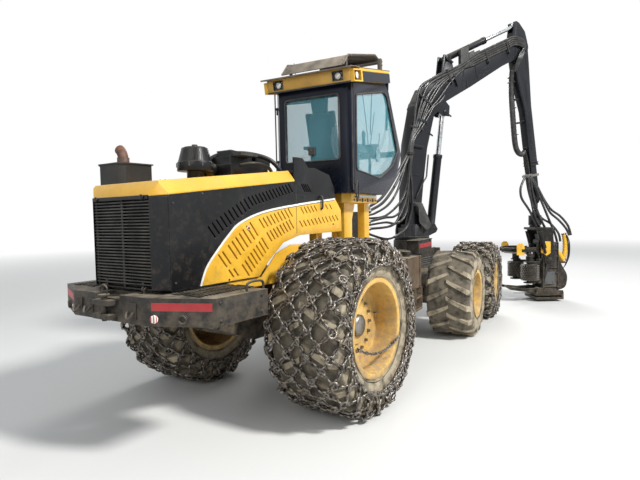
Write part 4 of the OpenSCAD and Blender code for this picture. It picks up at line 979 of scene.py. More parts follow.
lines, gap_shade_and_pulls = batches(2)
for s in (-1, 1):
    y = s * HOOD_HALF
    lines.take(*ribbon(LINE, 0.020, y, 0.0015), smooth=False)
    # Black strips below the white line and down the panel joint: painted shade of the gaps between the
    # panels.
    gap_shade_and_pulls.take(*ribbon([(x - 0.012, z - 0.014) for x, z in LINE], 0.007, y, 0.0012), smooth=False)
    gap_shade_and_pulls.take(*ribbon([(-0.028, 2.225), (-0.028, 2.04)], 0.007, y, 0.0016), smooth=False)
    gap_shade_and_pulls.take(*ribbon([(-0.028, 2.0), (-0.028, 1.72)], 0.006, y, 0.0012), smooth=False)
    gap_shade_and_pulls.hose([(0.42, y, 2.11), (0.42, y + s * 0.022, 2.095), (0.42, y + s * 0.024, 2.04),
                (0.42, y + s * 0.022, 1.985), (0.42, y, 1.97)], 5, 0.012, 8)
lines.make("hood_white_line", white_paint, "hood", REAR)
gap_shade_and_pulls.make("hood_gap_shade_strips_and_pulls", black_plastic, "hood", REAR)

core = Batch()
core.box(-1.672, -1.655, -0.43, 0.43, 1.36, 2.06)
for k in range(60):
    y = -0.42 + k * 0.0142
    core.box(-1.682, -1.672, y, y + 0.004, 1.365, 2.055)
core.make("radiator_core", dark_mesh, "hood", REAR)

# %% Latches and screws on the hood
LATCH_X, LATCH_Z = -0.76, 1.80

studs = Batch()
for s in (-1, 1):
    for x, z in ((-1.60, 1.40), (-1.60, 2.02), (-1.30, 2.10), (-0.70, 2.16), (-0.10, 2.215), (0.10, 2.10),
                 (0.60, 2.12), (0.66, 1.80), (-1.02, 1.36)):
        studs.bolt(0.010, 0.006, facing((x, s * HOOD_HALF, z), (0, s, 0)))
studs.make("hood_screws", black_plastic, "hood", REAR)
latch, hole = batches(2)
for s in (-1, 1):
    latch.disc([(0.0, 0.0), (0.0, 0.020), (0.006, 0.020), (0.008, 0.016), (0.008, 0.0)], 20,
               facing((LATCH_X, s * HOOD_HALF, LATCH_Z), (0, s, 0)))
    hole.disc([(0.0, 0.0), (0.0, 0.011), (0.0025, 0.011), (0.003, 0.0)], 16,
              facing((LATCH_X, s * (HOOD_HALF + 0.008), LATCH_Z), (0, s, 0)))
latch.make("hood_latch_discs", red_lens, "hood", REAR)
hole.make("hood_latch_centres", black_plastic, "hood", REAR)
print("hood dressed")

# %% [markdown]
# ## The bumper
# The bumper is folded plate with a serrated step on top of each wing, a red reflecting stripe across the back
# of the wing and a round red reflector below it. The step teeth are open holes with raised rims in the real
# sheet; here they are short ribs in rows, which give the same broken highlight.

# %% Bumper details
BUMPER_TOP = 1.320
BEND_X, BEND_Y = -1.859, 0.482
CORNER_X, CORNER_Y = -1.641, 0.975
STRIPE_LOW, STRIPE_HIGH = 1.225, 1.285
FITTING_Z = 1.165


def on_wing(s, t, z, proud=0.0):
    """A point on the slanted rear face of a bumper wing: t from 0, the bend, to 1, the outer corner."""
    a, b = Vector((BEND_X, s * BEND_Y, z)), Vector((CORNER_X, s * CORNER_Y, z))
    out = Vector((-(b - a).y, (b - a).x, 0)).normalized() * -s
    out = out if out.x < 0 else -out
    return a.lerp(b, t) + out * proud


stripes, reflectors, teeth, irons = batches(4)
for s in (-1, 1):
    around = ((0.06, STRIPE_LOW), (0.94, STRIPE_LOW), (0.94, STRIPE_HIGH), (0.06, STRIPE_HIGH))
    stripes.take([on_wing(s, t, z, proud) for proud in (0.0, 0.002) for t, z in around],
                 [(4, 5, 6, 7), (0, 1, 5, 4), (1, 2, 6, 5), (2, 3, 7, 6), (3, 0, 4, 7)], smooth=False)
    spot = on_wing(s, 0.10, FITTING_Z)
    out = on_wing(s, 0.10, FITTING_Z, 1) - spot
    reflectors.disc([(0, 0.0), (0, 0.032), (0.008, 0.032), (0.012, 0.026), (0.012, 0.0)], 24,
                    facing(spot, out))
    hook = on_wing(s, 0.52, FITTING_Z)
    up_way = Vector((0, 0, 0.028))
    side_way = out.cross(up_way)
    eye_ring = [hook + out * 0.016 + up_way * cos(a) + side_way * sin(a) for a in turns(16)]
    irons.hoop(eye_ring, 0.009, 8)
    irons.disc([(0, 0.0), (0, 0.04), (0.008, 0.04), (0.01, 0.0)], 20, facing(hook, out))
    for k in range(17):
        for row in range(3):
            x = -1.66 + k * 0.036 + (row % 2) * 0.018
            y = s * (0.56 + row * 0.11)
            if x < BEND_X + (abs(y) - BEND_Y) * 0.44 + 0.03:
                continue
            teeth.box(x, x + 0.012, y - 0.045, y + 0.045, BUMPER_TOP - 0.002, BUMPER_TOP + 0.011)
    grip = ((-1.08, -0.01), (-1.08, 0.05), (-1.12, 0.07), (-1.22, 0.07), (-1.27, 0.05), (-1.27, -0.01))
    irons.hose([(x, s * 0.93, BUMPER_TOP + rise) for x, rise in grip], 5, 0.011, 8)
    for x, z in ((-1.60, 1.28), (-1.60, 1.15), (-1.15, 1.28), (-1.15, 1.15)):
        irons.bolt(0.014, 0.010, facing((x, s * CORNER_Y, z), (0, s, 0)))
stripes.make("bumper_red_stripes", red_paint, "root", REAR)
reflectors.make("bumper_round_reflectors", red_lens, "root", REAR)
teeth.make("bumper_step_teeth", frame_paint, "root", REAR)
# tow pin with its handle, shackles and chain hooks at the middle of the bumper
irons.disc([(1.112, 0.0), (1.112, 0.020), (1.120, 0.0245), (1.300, 0.0245), (1.308, 0.045), (1.322, 0.045),
            (1.326, 0.030), (1.326, 0.0)], 20, at(-1.895, 0, 0))
irons.hose([(-1.895, -0.04, 1.33), (-1.895, -0.045, 1.37), (-1.895, 0, 1.395), (-1.895, 0.045, 1.37),
            (-1.895, 0.04, 1.33)], 6, 0.008, 8)
for y in (-0.31, 0.25, 0.40):
    irons.box(-1.872, -1.858, y - 0.05, y + 0.05, 1.15, 1.27)
    bow = [(-1.885 - 0.028 * abs(sin(a)), y + 0.036 * cos(a), 1.205 - 0.05 * sin(a))
           for a in (pi * k / 10 for k in range(11))]
    irons.rod(bow, 0.010, 8)
irons.make("bumper_irons", frame_paint, "root", REAR, bevel=0.0015)
print("bumper dressed")

# %% [markdown]
# ## The cab
# Safety glass is set in black rubber, and the frame round it is folded and welded sheet with soft
# corners. The seals are thin tubes run round each opening, which draw the dark outline that the
# photograph shows. Inside, the seat must read as a tall dark silhouette against the far windows.

# %% Window seals
CAB_X, CAB_HALF, FLOOR, EAVE = 0.840, 0.519, 2.160, 3.430
SIDE_WINDOW = [(CAB_X + 0.120, FLOOR + 0.270), (CAB_X + 0.140, 3.310), (1.900, 3.520), (2.010, 3.480),
               (2.400, 2.780), (2.180, 2.560), (1.700, FLOOR + 0.210)]
seals = Batch()


def rounded(outline, radius):
    """An outline in 2-D with its corners rounded."""
    out = []
    n = len(outline)
    for i in range(n):
        p, a, b = Vector(outline[i]), Vector(outline[i - 1]), Vector(outline[(i + 1) % n])
        cut = min(radius, (a - p).length * 0.45, (b - p).length * 0.45)
        start_point, end_point = p + (a - p).normalized() * cut, p + (b - p).normalized() * cut
        for t in (0.0, 0.25, 0.5, 0.75, 1.0):
            out.append(tuple(start_point * (1 - t) ** 2 + p * 2 * t * (1 - t) + end_point * t * t))
    return out


for s in (-1, 1):
    for depth in (0.001, -0.024):
        ring = [(x, s * (CAB_HALF + depth), z) for x, z in rounded(SIDE_WINDOW, 0.05)]
        seals.hoop(ring, 0.011, 6)
rear_window = [(-0.36, FLOOR + 0.39), (0.37, FLOOR + 0.39), (0.37, FLOOR + 1.15), (-0.36, FLOOR + 1.15)]
seals.hoop([(CAB_X - 0.001, y, z) for y, z in rounded(rear_window, 0.04)], 0.012, 6)
seals.make("window_seals", black_plastic, "front", FRONT)

# %% Latch, rails, handles and wiper
fittings = Batch()
# latch box and pull at the bottom of the rear window
fittings.box(CAB_X - 0.020, CAB_X + 0.03, -0.03, 0.05, FLOOR + 0.47, FLOOR + 0.56)
fittings.disc([(0, 0), (0, 0.014), (0.012, 0.014), (0.014, 0)], 16,
              facing((CAB_X - 0.020, 0.01, FLOOR + 0.515), (-1, 0, 0)))
# drip rail down the rear pillar
for s in (-1, 1):
    fittings.hose([(CAB_X + 0.015, s * (CAB_HALF + 0.004), FLOOR + 0.03),
                   (CAB_X + 0.012, s * (CAB_HALF + 0.004), EAVE - 0.02)], 4, 0.009, 6)
    # oval grab handle low on the rear pillar
    handle_x, handle_z = CAB_X + 0.06, FLOOR + 0.02
    oval = [(handle_x + 0.035 * cos(a), s * (CAB_HALF + 0.035), handle_z + 0.11 * sin(a)) for a in turns(24)]
    fittings.hoop(oval, 0.010, 8)
    for dz in (-0.07, 0.07):
        fittings.rod([(handle_x, s * (CAB_HALF + reach), handle_z + dz) for reach in (-0.005, 0.035)],
                     0.009, 6)
fittings.make("cab_fittings", black_plastic, "front", FRONT, bevel=0.002)
wiper = Batch()
wiper.hose([(2.02, -0.30, 3.56), (2.18, -0.22, 3.36), (2.38, -0.12, 3.06)], 6, 0.007, 6)
wiper.rod([(2.20, -0.26, 3.33), (2.50, -0.06, 2.87)], 0.006, 6)
wiper.make("windscreen_wiper", black_plastic, "front", FRONT)
print("cab fittings done")

# %% [markdown]
# ## Hoses on the crane
# Eight hydraulic hoses leave a bulkhead on the front frame, hang in loops beside the pillar, are gathered
# by a collar at the boom's foot and fan out over its side. Each loop is made in two lengths, split part way
# along.

# %% Lines that the boom's hoses follow
LOOPS = [  # radius, then points in the crane's frame
    (0.027, [(-1.21, -0.43, 2.02), (-0.87, -0.33, 2.18), (-0.55, -0.24, 2.50), (-0.23, -0.16, 2.91)]),
    (0.026, [(-1.21, -0.48, 1.96), (-0.86, -0.38, 2.11), (-0.53, -0.28, 2.43), (-0.23, -0.20, 2.86)]),
    (0.022, [(-1.21, -0.44, 1.90), (-1.04, -0.38, 1.92), (-0.71, -0.29, 2.06), (-0.47, -0.23, 2.31),
             (-0.25, -0.17, 2.75)]),
    (0.022, [(-1.21, -0.40, 1.84), (-0.80, -0.32, 1.87), (-0.43, -0.22, 2.08), (-0.25, -0.18, 2.31),
             (-0.14, -0.16, 2.62)]),
    (0.022, [(-1.21, -0.42, 1.58), (-0.73, -0.31, 1.47), (-0.30, -0.20, 1.61), (-0.16, -0.19, 1.86),
             (-0.12, -0.19, 2.18)]),
    (0.022, [(-1.21, -0.47, 1.78), (-0.81, -0.33, 1.84), (-0.54, -0.27, 1.87), (-0.30, -0.21, 2.06),
             (-0.20, -0.19, 2.50)]),
    (0.022, [(-1.21, -0.40, 1.72), (-0.79, -0.32, 1.76), (-0.55, -0.26, 1.73), (-0.37, -0.22, 1.79),
             (-0.23, -0.19, 2.00), (-0.17, -0.17, 2.51)]),
    (0.022, [(-1.21, -0.47, 1.66), (-0.64, -0.30, 1.70), (-0.44, -0.26, 1.88), (-0.27, -0.22, 2.19),
             (-0.17, -0.19, 2.60)]),
]
FAN = [  # x and z in the crane's frame, on the boom's side
    [(-0.014, 3.53), (0.039, 3.895), (0.138, 4.207), (0.403, 4.384), (0.725, 4.551), (1.029, 4.681)],
    [(0.021, 3.53), (0.133, 3.90), (0.281, 4.22), (0.525, 4.40), (0.824, 4.54), (1.08, 4.67)],
    [(0.068, 3.535), (0.228, 3.91), (0.401, 4.19), (0.623, 4.39), (0.925, 4.55), (1.131, 4.65)],
    [(0.105, 3.52), (0.280, 3.89), (0.462, 4.17), (0.660, 4.37), (0.950, 4.545), (1.145, 4.652)],
    [(0.127, 3.52), (0.324, 3.88), (0.522, 4.16), (0.697, 4.35), (0.976, 4.54), (1.157, 4.655)],
    [(0.151, 3.56), (0.347, 3.82), (0.569, 4.05), (0.822, 4.35), (1.0, 4.52), (1.157, 4.635)],
    [(0.040, 3.53), (0.175, 3.86), (0.318, 4.10), (0.480, 4.24), (0.700, 4.38)],
    [(0.170, 3.50), (0.318, 3.70), (0.420, 3.86), (0.568, 3.97), (0.694, 4.10)],
]
COLLAR = Vector((-0.125, -0.165, 2.99))
FAR_FACE = 0.134
KNEE_HOSES = 5
ARM_END = (2.32, 5.23)

# %% Helpers for hoses
def in_two(path, passed):
    """A path split at the first point where passed(point) holds. Both lengths keep that point."""
    k = max(1, next((i for i, p in enumerate(path) if passed(p)), len(path) - 1))
    return path[:k + 1], path[k:]


def ferrule(batch, point, direction, radius):
    """A crimped ferrule with a hexagon nut, as at every hose end."""
    place = facing(point, direction)
    profile = [(0.0, radius), (0.004, radius * 1.35), (0.045, radius * 1.35), (0.050, radius * 1.05),
               (0.060, radius * 1.05)]
    batch.disc(profile, 14, place)
    batch.bolt(radius * 1.6, 0.022, place @ at(0, 0, 0.056))


def in_collar(k):
    return COLLAR + Vector((-0.03 + 0.02 * (k % 4), 0.018 - 0.036 * (k // 4), 0.0))


def face_y(k):
    """How far out on the boom's side hose k lies."""
    return -0.134 - 0.004 * (k % 2)


def lane(k):
    """How far hose k lies from the middle lane, across the boom's upper arm."""
    return Vector((-0.418, 0, 0.909)) * (0.112 - 0.039 * k)

# %% Hoses from the bulkhead up the boom
lower, upper, ends, on_boom = batches(4)
for k, (radius, points) in enumerate(LOOPS):
    path = smooth_path(points + [tuple(in_collar(k))], 10)
    first, second = in_two(path, lambda p: p.x > -0.6)
    lower.rod(first, radius, 8)
    upper.rod(second, radius, 8)
    ferrule(ends, Vector(points[0]) + Vector((0.03, 0, 0)), (-1, -0.05, 0), radius)
for k, points in enumerate(FAN):
    path = [tuple(in_collar(k)), (in_collar(k).x + 0.05, -0.150 - 0.02 * (k // 4), 3.24)]
    path += [(x, face_y(k), z) for x, z in points]
    if k < KNEE_HOSES:
        upper_arm = ((1.42, 4.80), (1.743, 4.96), (2.08, 5.12), ARM_END)
        path += [tuple(Vector((x, face_y(k), z)) + lane(k)) for x, z in upper_arm]
    on_boom.hose(path, 6, 0.021 if k > 1 else 0.025, 8)
for k in range(3):  # three return hoses on the far side
    path = [(-0.06 + 0.05 * k, FAR_FACE - 0.002, 2.60), (-0.02 + 0.05 * k, FAR_FACE, 3.30),
            (0.16 + 0.06 * k, FAR_FACE, 4.02), (0.46 + 0.04 * k, FAR_FACE, 4.36 - 0.03 * k),
            (1.04, FAR_FACE, 4.62 - 0.045 * k), (1.743, FAR_FACE, 4.985 - 0.045 * k),
            (2.30, FAR_FACE, 5.24 - 0.045 * k)]
    on_boom.hose(path, 6, 0.016, 8)
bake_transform(lower.make("crane_hoses_lower", hose_skin, None, CRANE))
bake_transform(upper.make("crane_hoses_upper", hose_skin, None, CRANE))
on_boom.make("boom_hoses", hose_skin, "boom", CRANE)
ends.make("bulkhead_ferrules", bare_steel, "front", CRANE)

# %% The bulkhead
# the bulkhead itself: a plate on two brackets with the adapters of the pipes behind it
bulkhead = Batch()
bulkhead.slab([(-1.315, 1.25), (-1.300, 1.25), (-1.300, 2.10), (-1.330, 2.14), (-1.345, 2.14),
               (-1.345, 2.12), (-1.315, 2.09)], -0.60, -0.30)
for y in (-0.60, -0.315):
    bulkhead.box(-1.60, -1.31, y, y + 0.015, 1.30, 1.95)
for radius, points in LOOPS:
    adapter = [(0.0, 0.0), (0.0, radius * 1.7), (0.014, radius * 1.7), (0.014, radius), (0.05, radius),
               (0.05, 0.0)]
    bulkhead.disc(adapter, 12, facing((-1.345, points[0][1], points[0][2]), (1, 0, 0)))
bulkhead.make("hose_bulkhead", frame_paint, "front", CRANE, bevel=0.002)
print("boom hoses:", len(LOOPS), "from the bulkhead,", len(FAN), "along its side")

# %% Straps, clamps and boxes on the boom
def bar(batch, a, b, width, y0, y1):
    """A flat bar from a to b, both (x, z), standing between y0 and y1."""
    a, b = Vector((a[0], a[1])), Vector((b[0], b[1]))
    n = Vector((-(b - a).y, (b - a).x)).normalized() * width / 2
    batch.slab([tuple(a - n), tuple(b - n), tuple(b + n), tuple(a + n)], y0, y1)


BOOM_FACE = 0.110
STRAPS = [  # from, to and width, on the boom's sides
    ((1.17, 4.636), (1.17, 4.298), 0.034), ((1.258, 4.466), (1.258, 4.306), 0.026),
    ((1.459, 4.746), (1.537, 4.502), 0.032), ((1.659, 4.687), (1.796, 4.772), 0.026),
    ((1.836, 4.705), (1.658, 4.575), 0.030), ((1.658, 4.575), (1.551, 4.554), 0.026),
    ((2.301, 5.138), (2.334, 4.985), 0.026), ((2.531, 5.238), (2.559, 5.074), 0.026),
    ((0.315, 3.40), (0.420, 3.34), 0.030), ((-0.02, 2.62), (0.11, 2.60), 0.030),
]
straps = Batch()
for a, b, width in STRAPS:
    for s in (-1, 1):
        bar(straps, a, b, width, *side_span(s, BOOM_FACE, BOOM_FACE + 0.011))
bar(straps, (1.797, 4.947), (1.99, 5.03), 0.075, *side_span(-1, BOOM_FACE, BOOM_FACE + 0.009))
straps.make("boom_weld_straps", crane_paint, "boom", CRANE, bevel=0.002)
holders = Batch()
for x, z, slope, length in ((0.035, 3.46, 1.40, 0.26), (0.245, 3.98, 0.95, 0.30), (0.80, 4.46, 0.50, 0.26),
                            (1.74, 4.93, 0.42, 0.22), (2.28, 5.18, 0.42, 0.22)):
    d = Vector((-sin(slope), cos(slope))) * length / 2
    bar(holders, (x - d.x, z - d.y), (x + d.x, z + d.y), 0.034, -0.165, -0.150)
    for t in (-1, 1):
        bar(holders, (x + t * d.x - 0.012, z + t * d.y - 0.006), (x + t * d.x + 0.012, z + t * d.y + 0.006),
            0.034, -0.165, -0.112)
        holders.bolt(0.011, 0.008, facing((x + t * d.x * 0.94, -0.165, z + t * d.y * 0.94), (0, -1, 0)))
for x0, x1, y0, y1 in ((-0.07, 0.06, -0.222, -0.206), (-0.07, -0.052, -0.222, -0.112),
                       (0.045, 0.06, -0.222, -0.112), (-0.07, 0.10, -0.128, -0.112)):
    bar(holders, (COLLAR.x + x0, COLLAR.z), (COLLAR.x + x1, COLLAR.z), 0.05, y0, y1)
holders.make("boom_hose_clamps", frame_paint, "boom", CRANE, bevel=0.002)
boxes = Batch()
for x0, x1, z0, lift_by in ((1.08, 1.28, 4.66, 0.34), (1.29, 1.42, 4.80, 0.17), (1.43, 1.56, 4.86, 0.13)):
    corners = [(x0, z0), (x1, z0 + (x1 - x0) * 0.46), (x1, z0 + (x1 - x0) * 0.46 + lift_by),
               (x0, z0 + lift_by)]
    boxes.slab(corners, -0.150, -0.072)
boxes.make("boom_junction_boxes", black_plastic, "boom", CRANE, bevel=0.008)

# %% Pin caps, cylinder hoses and the pillar's flap
pins = Batch()
cap = [(0.0, 0.0), (0.0, 0.052), (0.010, 0.052), (0.014, 0.046), (0.014, 0.018), (0.026, 0.016), (0.026, 0.0)]
for x, z, face in ((-0.05, 2.0, 0.135), (0.74, 3.80, 0.128), (0.80, 4.82, 0.128), (2.73, 5.27, 0.128)):
    for s in (-1, 1):
        pins.disc(cap, 24, facing((x, s * (face - 0.012), z), (0, s, 0)))
        bar(pins, (x + 0.03, z - 0.03), (x + 0.12, z - 0.075), 0.028, s * (face - 0.014), s * (face - 0.002))
pins.make("crane_pin_caps", crane_paint, "boom", CRANE, bevel=0.001)
feed = Batch()
feed.hose([(0.004, -0.13, 2.184), (0.167, -0.14, 2.469), (0.249, -0.13, 2.574), (0.283, -0.11, 2.705),
           (0.336, -0.085, 2.992)], 6, 0.015, 8)
feed.hose([(0.02, 0.13, 2.184), (0.18, 0.14, 2.469), (0.26, 0.13, 2.574), (0.29, 0.11, 2.705),
           (0.336, 0.085, 2.90)], 6, 0.015, 8)
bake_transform(feed.make("lift_cylinder_hoses", hose_skin, None, CRANE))
flap = Batch()
flap.slab(rounded([(-.138, 2.103), (.049, 2.102), (.264, 1.674), (.151, 1.587), (-.02, 1.733),
                   (-.031, 2.013)], 0.04), -0.262, -0.252)
flap.disc([(0, 0), (0, 0.03), (0.14, 0.03), (0.14, 0)], 12, facing((0.06, -0.255, 1.85), (0, 1, 0)))
flap.make("pillar_rubber_flap", black_plastic, "crane", CRANE, bevel=0.002)

# %% Over the knee, down the jib and out to the rotator
over_knee, sleeve, tail = batches(3)
to_crane = CRANE.inverted() @ JIB
for k in range(KNEE_HOSES):
    begin = Vector((ARM_END[0], face_y(k), ARM_END[1])) + lane(k)
    path = [begin, begin + Vector((0.16, -0.016, 0.075)), Vector((2.70, -0.165, 5.36 - 0.035 * k))]
    path += [to_crane @ Vector(p) for p in ((0.12 + 0.01 * k, -0.150, -0.02 - 0.03 * k),
                                            (0.30, -0.125, -0.13 - 0.022 * k),
                                            (0.50, -0.05 + 0.02 * k, -0.235 - 0.012 * (k % 2)))]
    over_knee.hose([tuple(p) for p in path], 6, 0.021, 8)
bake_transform(over_knee.make("knee_hoses", hose_skin, None, CRANE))
J_LINE = [(0.46, 0.0, -0.245), (0.62, 0.03, -0.255), (0.9, 0.05, -0.28), (1.4, 0.05, -0.315),
          (1.9, 0.05, -0.335), (2.10, 0.045, -0.295), (2.17, 0.02, -0.21), (2.12, 0, -0.14)]
j_path = smooth_path(J_LINE, 14)
ridge = [0.054 + 0.0035 * (i % 2) for i in range(len(j_path))]
sleeve.rod(j_path, ridge, 12)
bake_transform(sleeve.make("jib_hose_sleeve", hose_skin, None, JIB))
for k in range(4):
    y = -0.045 + 0.03 * k
    tail.hose([(2.13, y * 0.6, -0.15), (2.30, y, -0.135), (2.46, y, -0.130), (2.62, y, -0.122)], 6, 0.0155, 8)
tail.make("extension_hoses", hose_skin, "extension", JIB)
saddle = Batch()
for x, drop in ((0.66, 0.10), (1.02, 0.12), (1.5, 0.15)):
    rear_z = -0.20 + 0.10 * min(1.0, (x - 0.4) / 1.2)
    saddle.box(x, x + 0.03, -0.02, 0.12, rear_z - drop, rear_z + 0.03)
for x in (0.58, 1.2, 1.75):
    z = -0.25 - 0.06 * min(1.0, (x - 0.58) / 1.0)
    band = [(x, 0.045 + 0.062 * cos(a), z + 0.062 * sin(a)) for a in turns(20)]
    saddle.hoop(band, 0.008, 5)
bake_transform(saddle.make("jib_sleeve_saddles", frame_paint, None, JIB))
knot = Batch()
knot.box(2.60, 2.68, -0.085, 0.10, -0.165, -0.095)
knot.box(2.615, 2.665, -0.098, 0.112, -0.178, 0.095)
knot.make("extension_hose_collar", bare_steel, "extension", JIB, bevel=0.006)
plates = Batch()
for x0, x1, z in ((0.05, 0.45, 0.10), (0.60, 1.10, 0.02), (1.30, 2.10, 0.0)):
    for s in (-1, 1):
        plates.box(x0, x1, *side_span(s, 0.084, 0.090), z - 0.03, z + 0.03)
for x in (2.36, 2.42):
    plates.box(x, x + 0.012, -0.112, 0.112, -0.112, 0.112)
plates.make("jib_wear_plates", crane_paint, "jib", JIB, bevel=0.002)
print("crane hoses done")

# %% [markdown]
# ## The head
# Hoses come down past the swing link and the rotator, which both turn, and each hose is made in three
# lengths, split at two heights. Where they reach the head they run inside thick yellow sleeves.
# The head itself gets the parts that make its outline busy: spiked rollers, motors, valve block, guards,
# saw chain and measuring wheel.

# %% Hoses past the rotator
DROP_RADIUS = 0.024
LINK_FROM, TILT_FROM = 1.98, 1.58  # heights at which the next length of a hose begins
DROPS = [  # points in the crane's frame, all from the collar at the extension's end
    [(2.80, -0.11, 2.62), (2.66, -0.13, 2.42), (2.63, -0.14, 2.28), (2.68, -0.14, 2.14),
     (2.88, -0.13, 1.93), (3.00, -0.15, 1.72), (3.08, -0.18, 1.50), (3.16, -0.17, 1.31)],
    [(2.86, -0.14, 2.60), (2.88, -0.16, 2.29), (2.95, -0.18, 1.91), (3.05, -0.20, 1.66),
     (3.20, -0.21, 1.44), (3.34, -0.20, 1.30)],
    [(2.90, -0.15, 2.60), (2.93, -0.17, 2.32), (3.02, -0.20, 1.96), (3.14, -0.22, 1.70),
     (3.32, -0.22, 1.44), (3.52, -0.19, 1.20), (3.62, -0.20, 1.10)],
    [(2.93, -0.12, 2.62), (3.06, -0.15, 2.38), (3.20, -0.19, 2.06), (3.33, -0.22, 1.77),
     (3.50, -0.25, 1.42), (3.60, -0.24, 1.18)],
    [(2.96, -0.10, 2.64), (3.12, -0.14, 2.38), (3.27, -0.18, 2.10), (3.40, -0.22, 1.86),
     (3.58, -0.28, 1.70), (3.74, -0.33, 1.52), (3.82, -0.35, 1.37)],
    [(2.97, -0.08, 2.64), (3.14, -0.11, 2.42), (3.30, -0.15, 2.14), (3.46, -0.20, 1.92),
     (3.64, -0.27, 1.78), (3.80, -0.33, 1.58), (3.86, -0.36, 1.37)],
    [(2.85, -0.09, 2.62), (2.90, -0.11, 2.30), (3.02, -0.13, 1.98), (3.20, -0.16, 1.76),
     (3.44, -0.20, 1.62), (3.62, -0.24, 1.42), (3.66, -0.26, 1.24)],
]
links_a, links_b, links_c = batches(3)
for points in DROPS:
    path = smooth_path(points, 8)
    first, rest = in_two(path, lambda p: p.z < LINK_FROM)
    second, third = in_two(rest, lambda p: p.z < TILT_FROM)
    for batch, part in ((links_a, first), (links_b, second), (links_c, third)):
        if len(part) > 1:
            batch.rod(part, DROP_RADIUS, 8)
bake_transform(links_a.make("head_hoses_upper", hose_skin, None, CRANE))
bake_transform(links_b.make("head_hoses_middle", hose_skin, None, CRANE))
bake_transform(links_c.make("head_hoses_lower", hose_skin, None, CRANE))

# %% Yellow sleeves and wiring
HEAD_FACE = 0.25
PLATE_FACE = 0.268

sleeves, sleeve_ends, wiring = batches(3)
YELLOW_SLEEVES = [
    (0.052, [(-0.30, 0.10, 1.25), (-0.42, 0.08, 1.06), (-0.52, 0.04, 0.94), (-0.60, 0.0, 0.83)]),
    (0.048, [(-0.63, -0.03, 1.40), (-0.655, -0.03, 1.24), (-0.655, -0.03, 1.05), (-0.62, -0.02, 0.86)]),
]
for radius, points in YELLOW_SLEEVES:
    path = smooth_path(points, 12)
    sleeves.rod(path, [radius + 0.004 * sin(i * 1.7) for i in range(len(path))], 14)
    for i in (0, len(path) - 1):
        d = (path[1] - path[0]) if i == 0 else (path[-1] - path[-2])
        sleeve_ends.disc([(-0.012, 0.0), (-0.012, radius * 1.12), (0.014, radius * 1.12), (0.014, 0.0)], 16,
                         facing(path[i], d))
for k in range(3):
    wiring.hose([(-0.66, 0.04 - 0.03 * k, 1.38), (-0.715, 0.05 - 0.04 * k, 1.20 - 0.03 * k),
                 (-0.71, 0.04 - 0.03 * k, 0.92), (-0.62, 0.02, 0.70), (-0.50, 0.06, 0.66)], 8, 0.010, 6)
    for s in (1, -1):
        wiring.hose([(-0.10 - 0.07 * k, s * 0.20, 1.27), (-0.12 - 0.09 * k, s * 0.262, 1.18),
                     (-0.16 - 0.05 * k, s * 0.275, 1.00), (-0.12, s * 0.27, 0.72 - 0.07 * k),
                     (-0.09, s * 0.262, 0.46)], 7, 0.014, 7)
sleeves.make("head_hose_sleeves", guard_yellow, "head", HEAD)
sleeve_ends.make("head_sleeve_cuffs", bare_steel, "head", HEAD)
wiring.make("head_hoses_and_wiring", hose_skin, "head", HEAD)

# %% The cover on the head's back
cover = Batch()
outer = smooth_path([(-0.37, 0, 1.04), (-0.50, 0, 0.74), (-0.595, 0, 0.56), (-0.60, 0, 0.40),
                     (-0.545, 0, 0.27), (-0.37, 0, 0.21)], 5)
shell = [(p.x, p.z) for p in outer] + [(p.x + 0.013, p.z - 0.002) for p in reversed(outer)]
cover.slab(shell, -0.175, 0.175)
for y in (-0.178, 0.168):
    cover.slab([(p.x + 0.004, p.z) for p in outer] + [(-0.37, 0.50)], y, y + 0.010)
cover.box(-0.66, -0.36, -0.05, 0.05, 0.775, 0.800)
cover.box(-0.40, -0.38, -0.22, 0.22, 0.86, 1.20)
cover.make("head_back_cover", head_paint, "head", HEAD, bevel=0.004)

# %% Valve block and ribs
valves = Batch()
valves.box(-0.34, -0.06, -0.13, 0.13, 1.29, 1.345)
for k in range(5):
    x = -0.31 + 0.055 * k
    valves.box(x, x + 0.042, -0.10, 0.10, 1.343, 1.41)
    for s in (-1, 1):
        valves.disc([(0.0, 0.0), (0.0, 0.018), (0.05, 0.018), (0.055, 0.012), (0.055, 0.0)], 12,
                    facing((x + 0.021, s * 0.098, 1.376), (0, s, 0)))
for s in (-1, 1):
    valves.box(-0.30, -0.10, *side_span(s, HEAD_FACE, PLATE_FACE), 0.36, 0.62)
    for x, z in ((-0.35, 0.24), (-0.35, 0.60), (-0.35, 0.95), (-0.35, 1.18), (-0.10, 0.24), (-0.10, 1.18),
                 (-0.27, 0.40), (-0.13, 0.40), (-0.27, 0.58), (-0.13, 0.58)):
        valves.bolt(0.016, 0.012, facing((x, s * (PLATE_FACE if 0.36 < z < 0.62 else HEAD_FACE), z),
                                         (0, s, 0)))
valves.make("head_valve_block", cast_grey, "head", HEAD, bevel=0.002)
ribs = Batch()
for s in (-1, 1):
    for z in (0.30, 0.70, 1.08):
        ribs.slab([(-0.375, z), (-0.065, z), (-0.065, z + 0.014), (-0.375, z + 0.014)],
                  *side_span(s, HEAD_FACE, HEAD_FACE + 0.025))
    ribs.box(-0.385, -0.36, s * HEAD_FACE - 0.02, s * HEAD_FACE + 0.02, 0.20, 1.23)
    ribs.box(-0.46, 0.09, s * 0.302 - 0.006, s * 0.302 + 0.006, 0.198, 0.235)
    ribs.box(-0.09, -0.055, s * HEAD_FACE - 0.02, s * HEAD_FACE + 0.02, 0.20, 1.23)
for s in (-1, 1):
    arm = [(-0.06, 0.200), (0.30, 0.205), (0.62, 0.255), (0.74, 0.330), (0.70, 0.345), (0.58, 0.300),
           (0.30, 0.270), (-0.06, 0.290)]
    ribs.slab(arm, *side_span(s, 0.20, 0.262))
    ribs.disc([(0, 0), (0, 0.05), (0.09, 0.05), (0.10, 0.03), (0.10, 0)], 16,
              facing((0.05, s * 0.19, 0.25), (0, s, 0)))
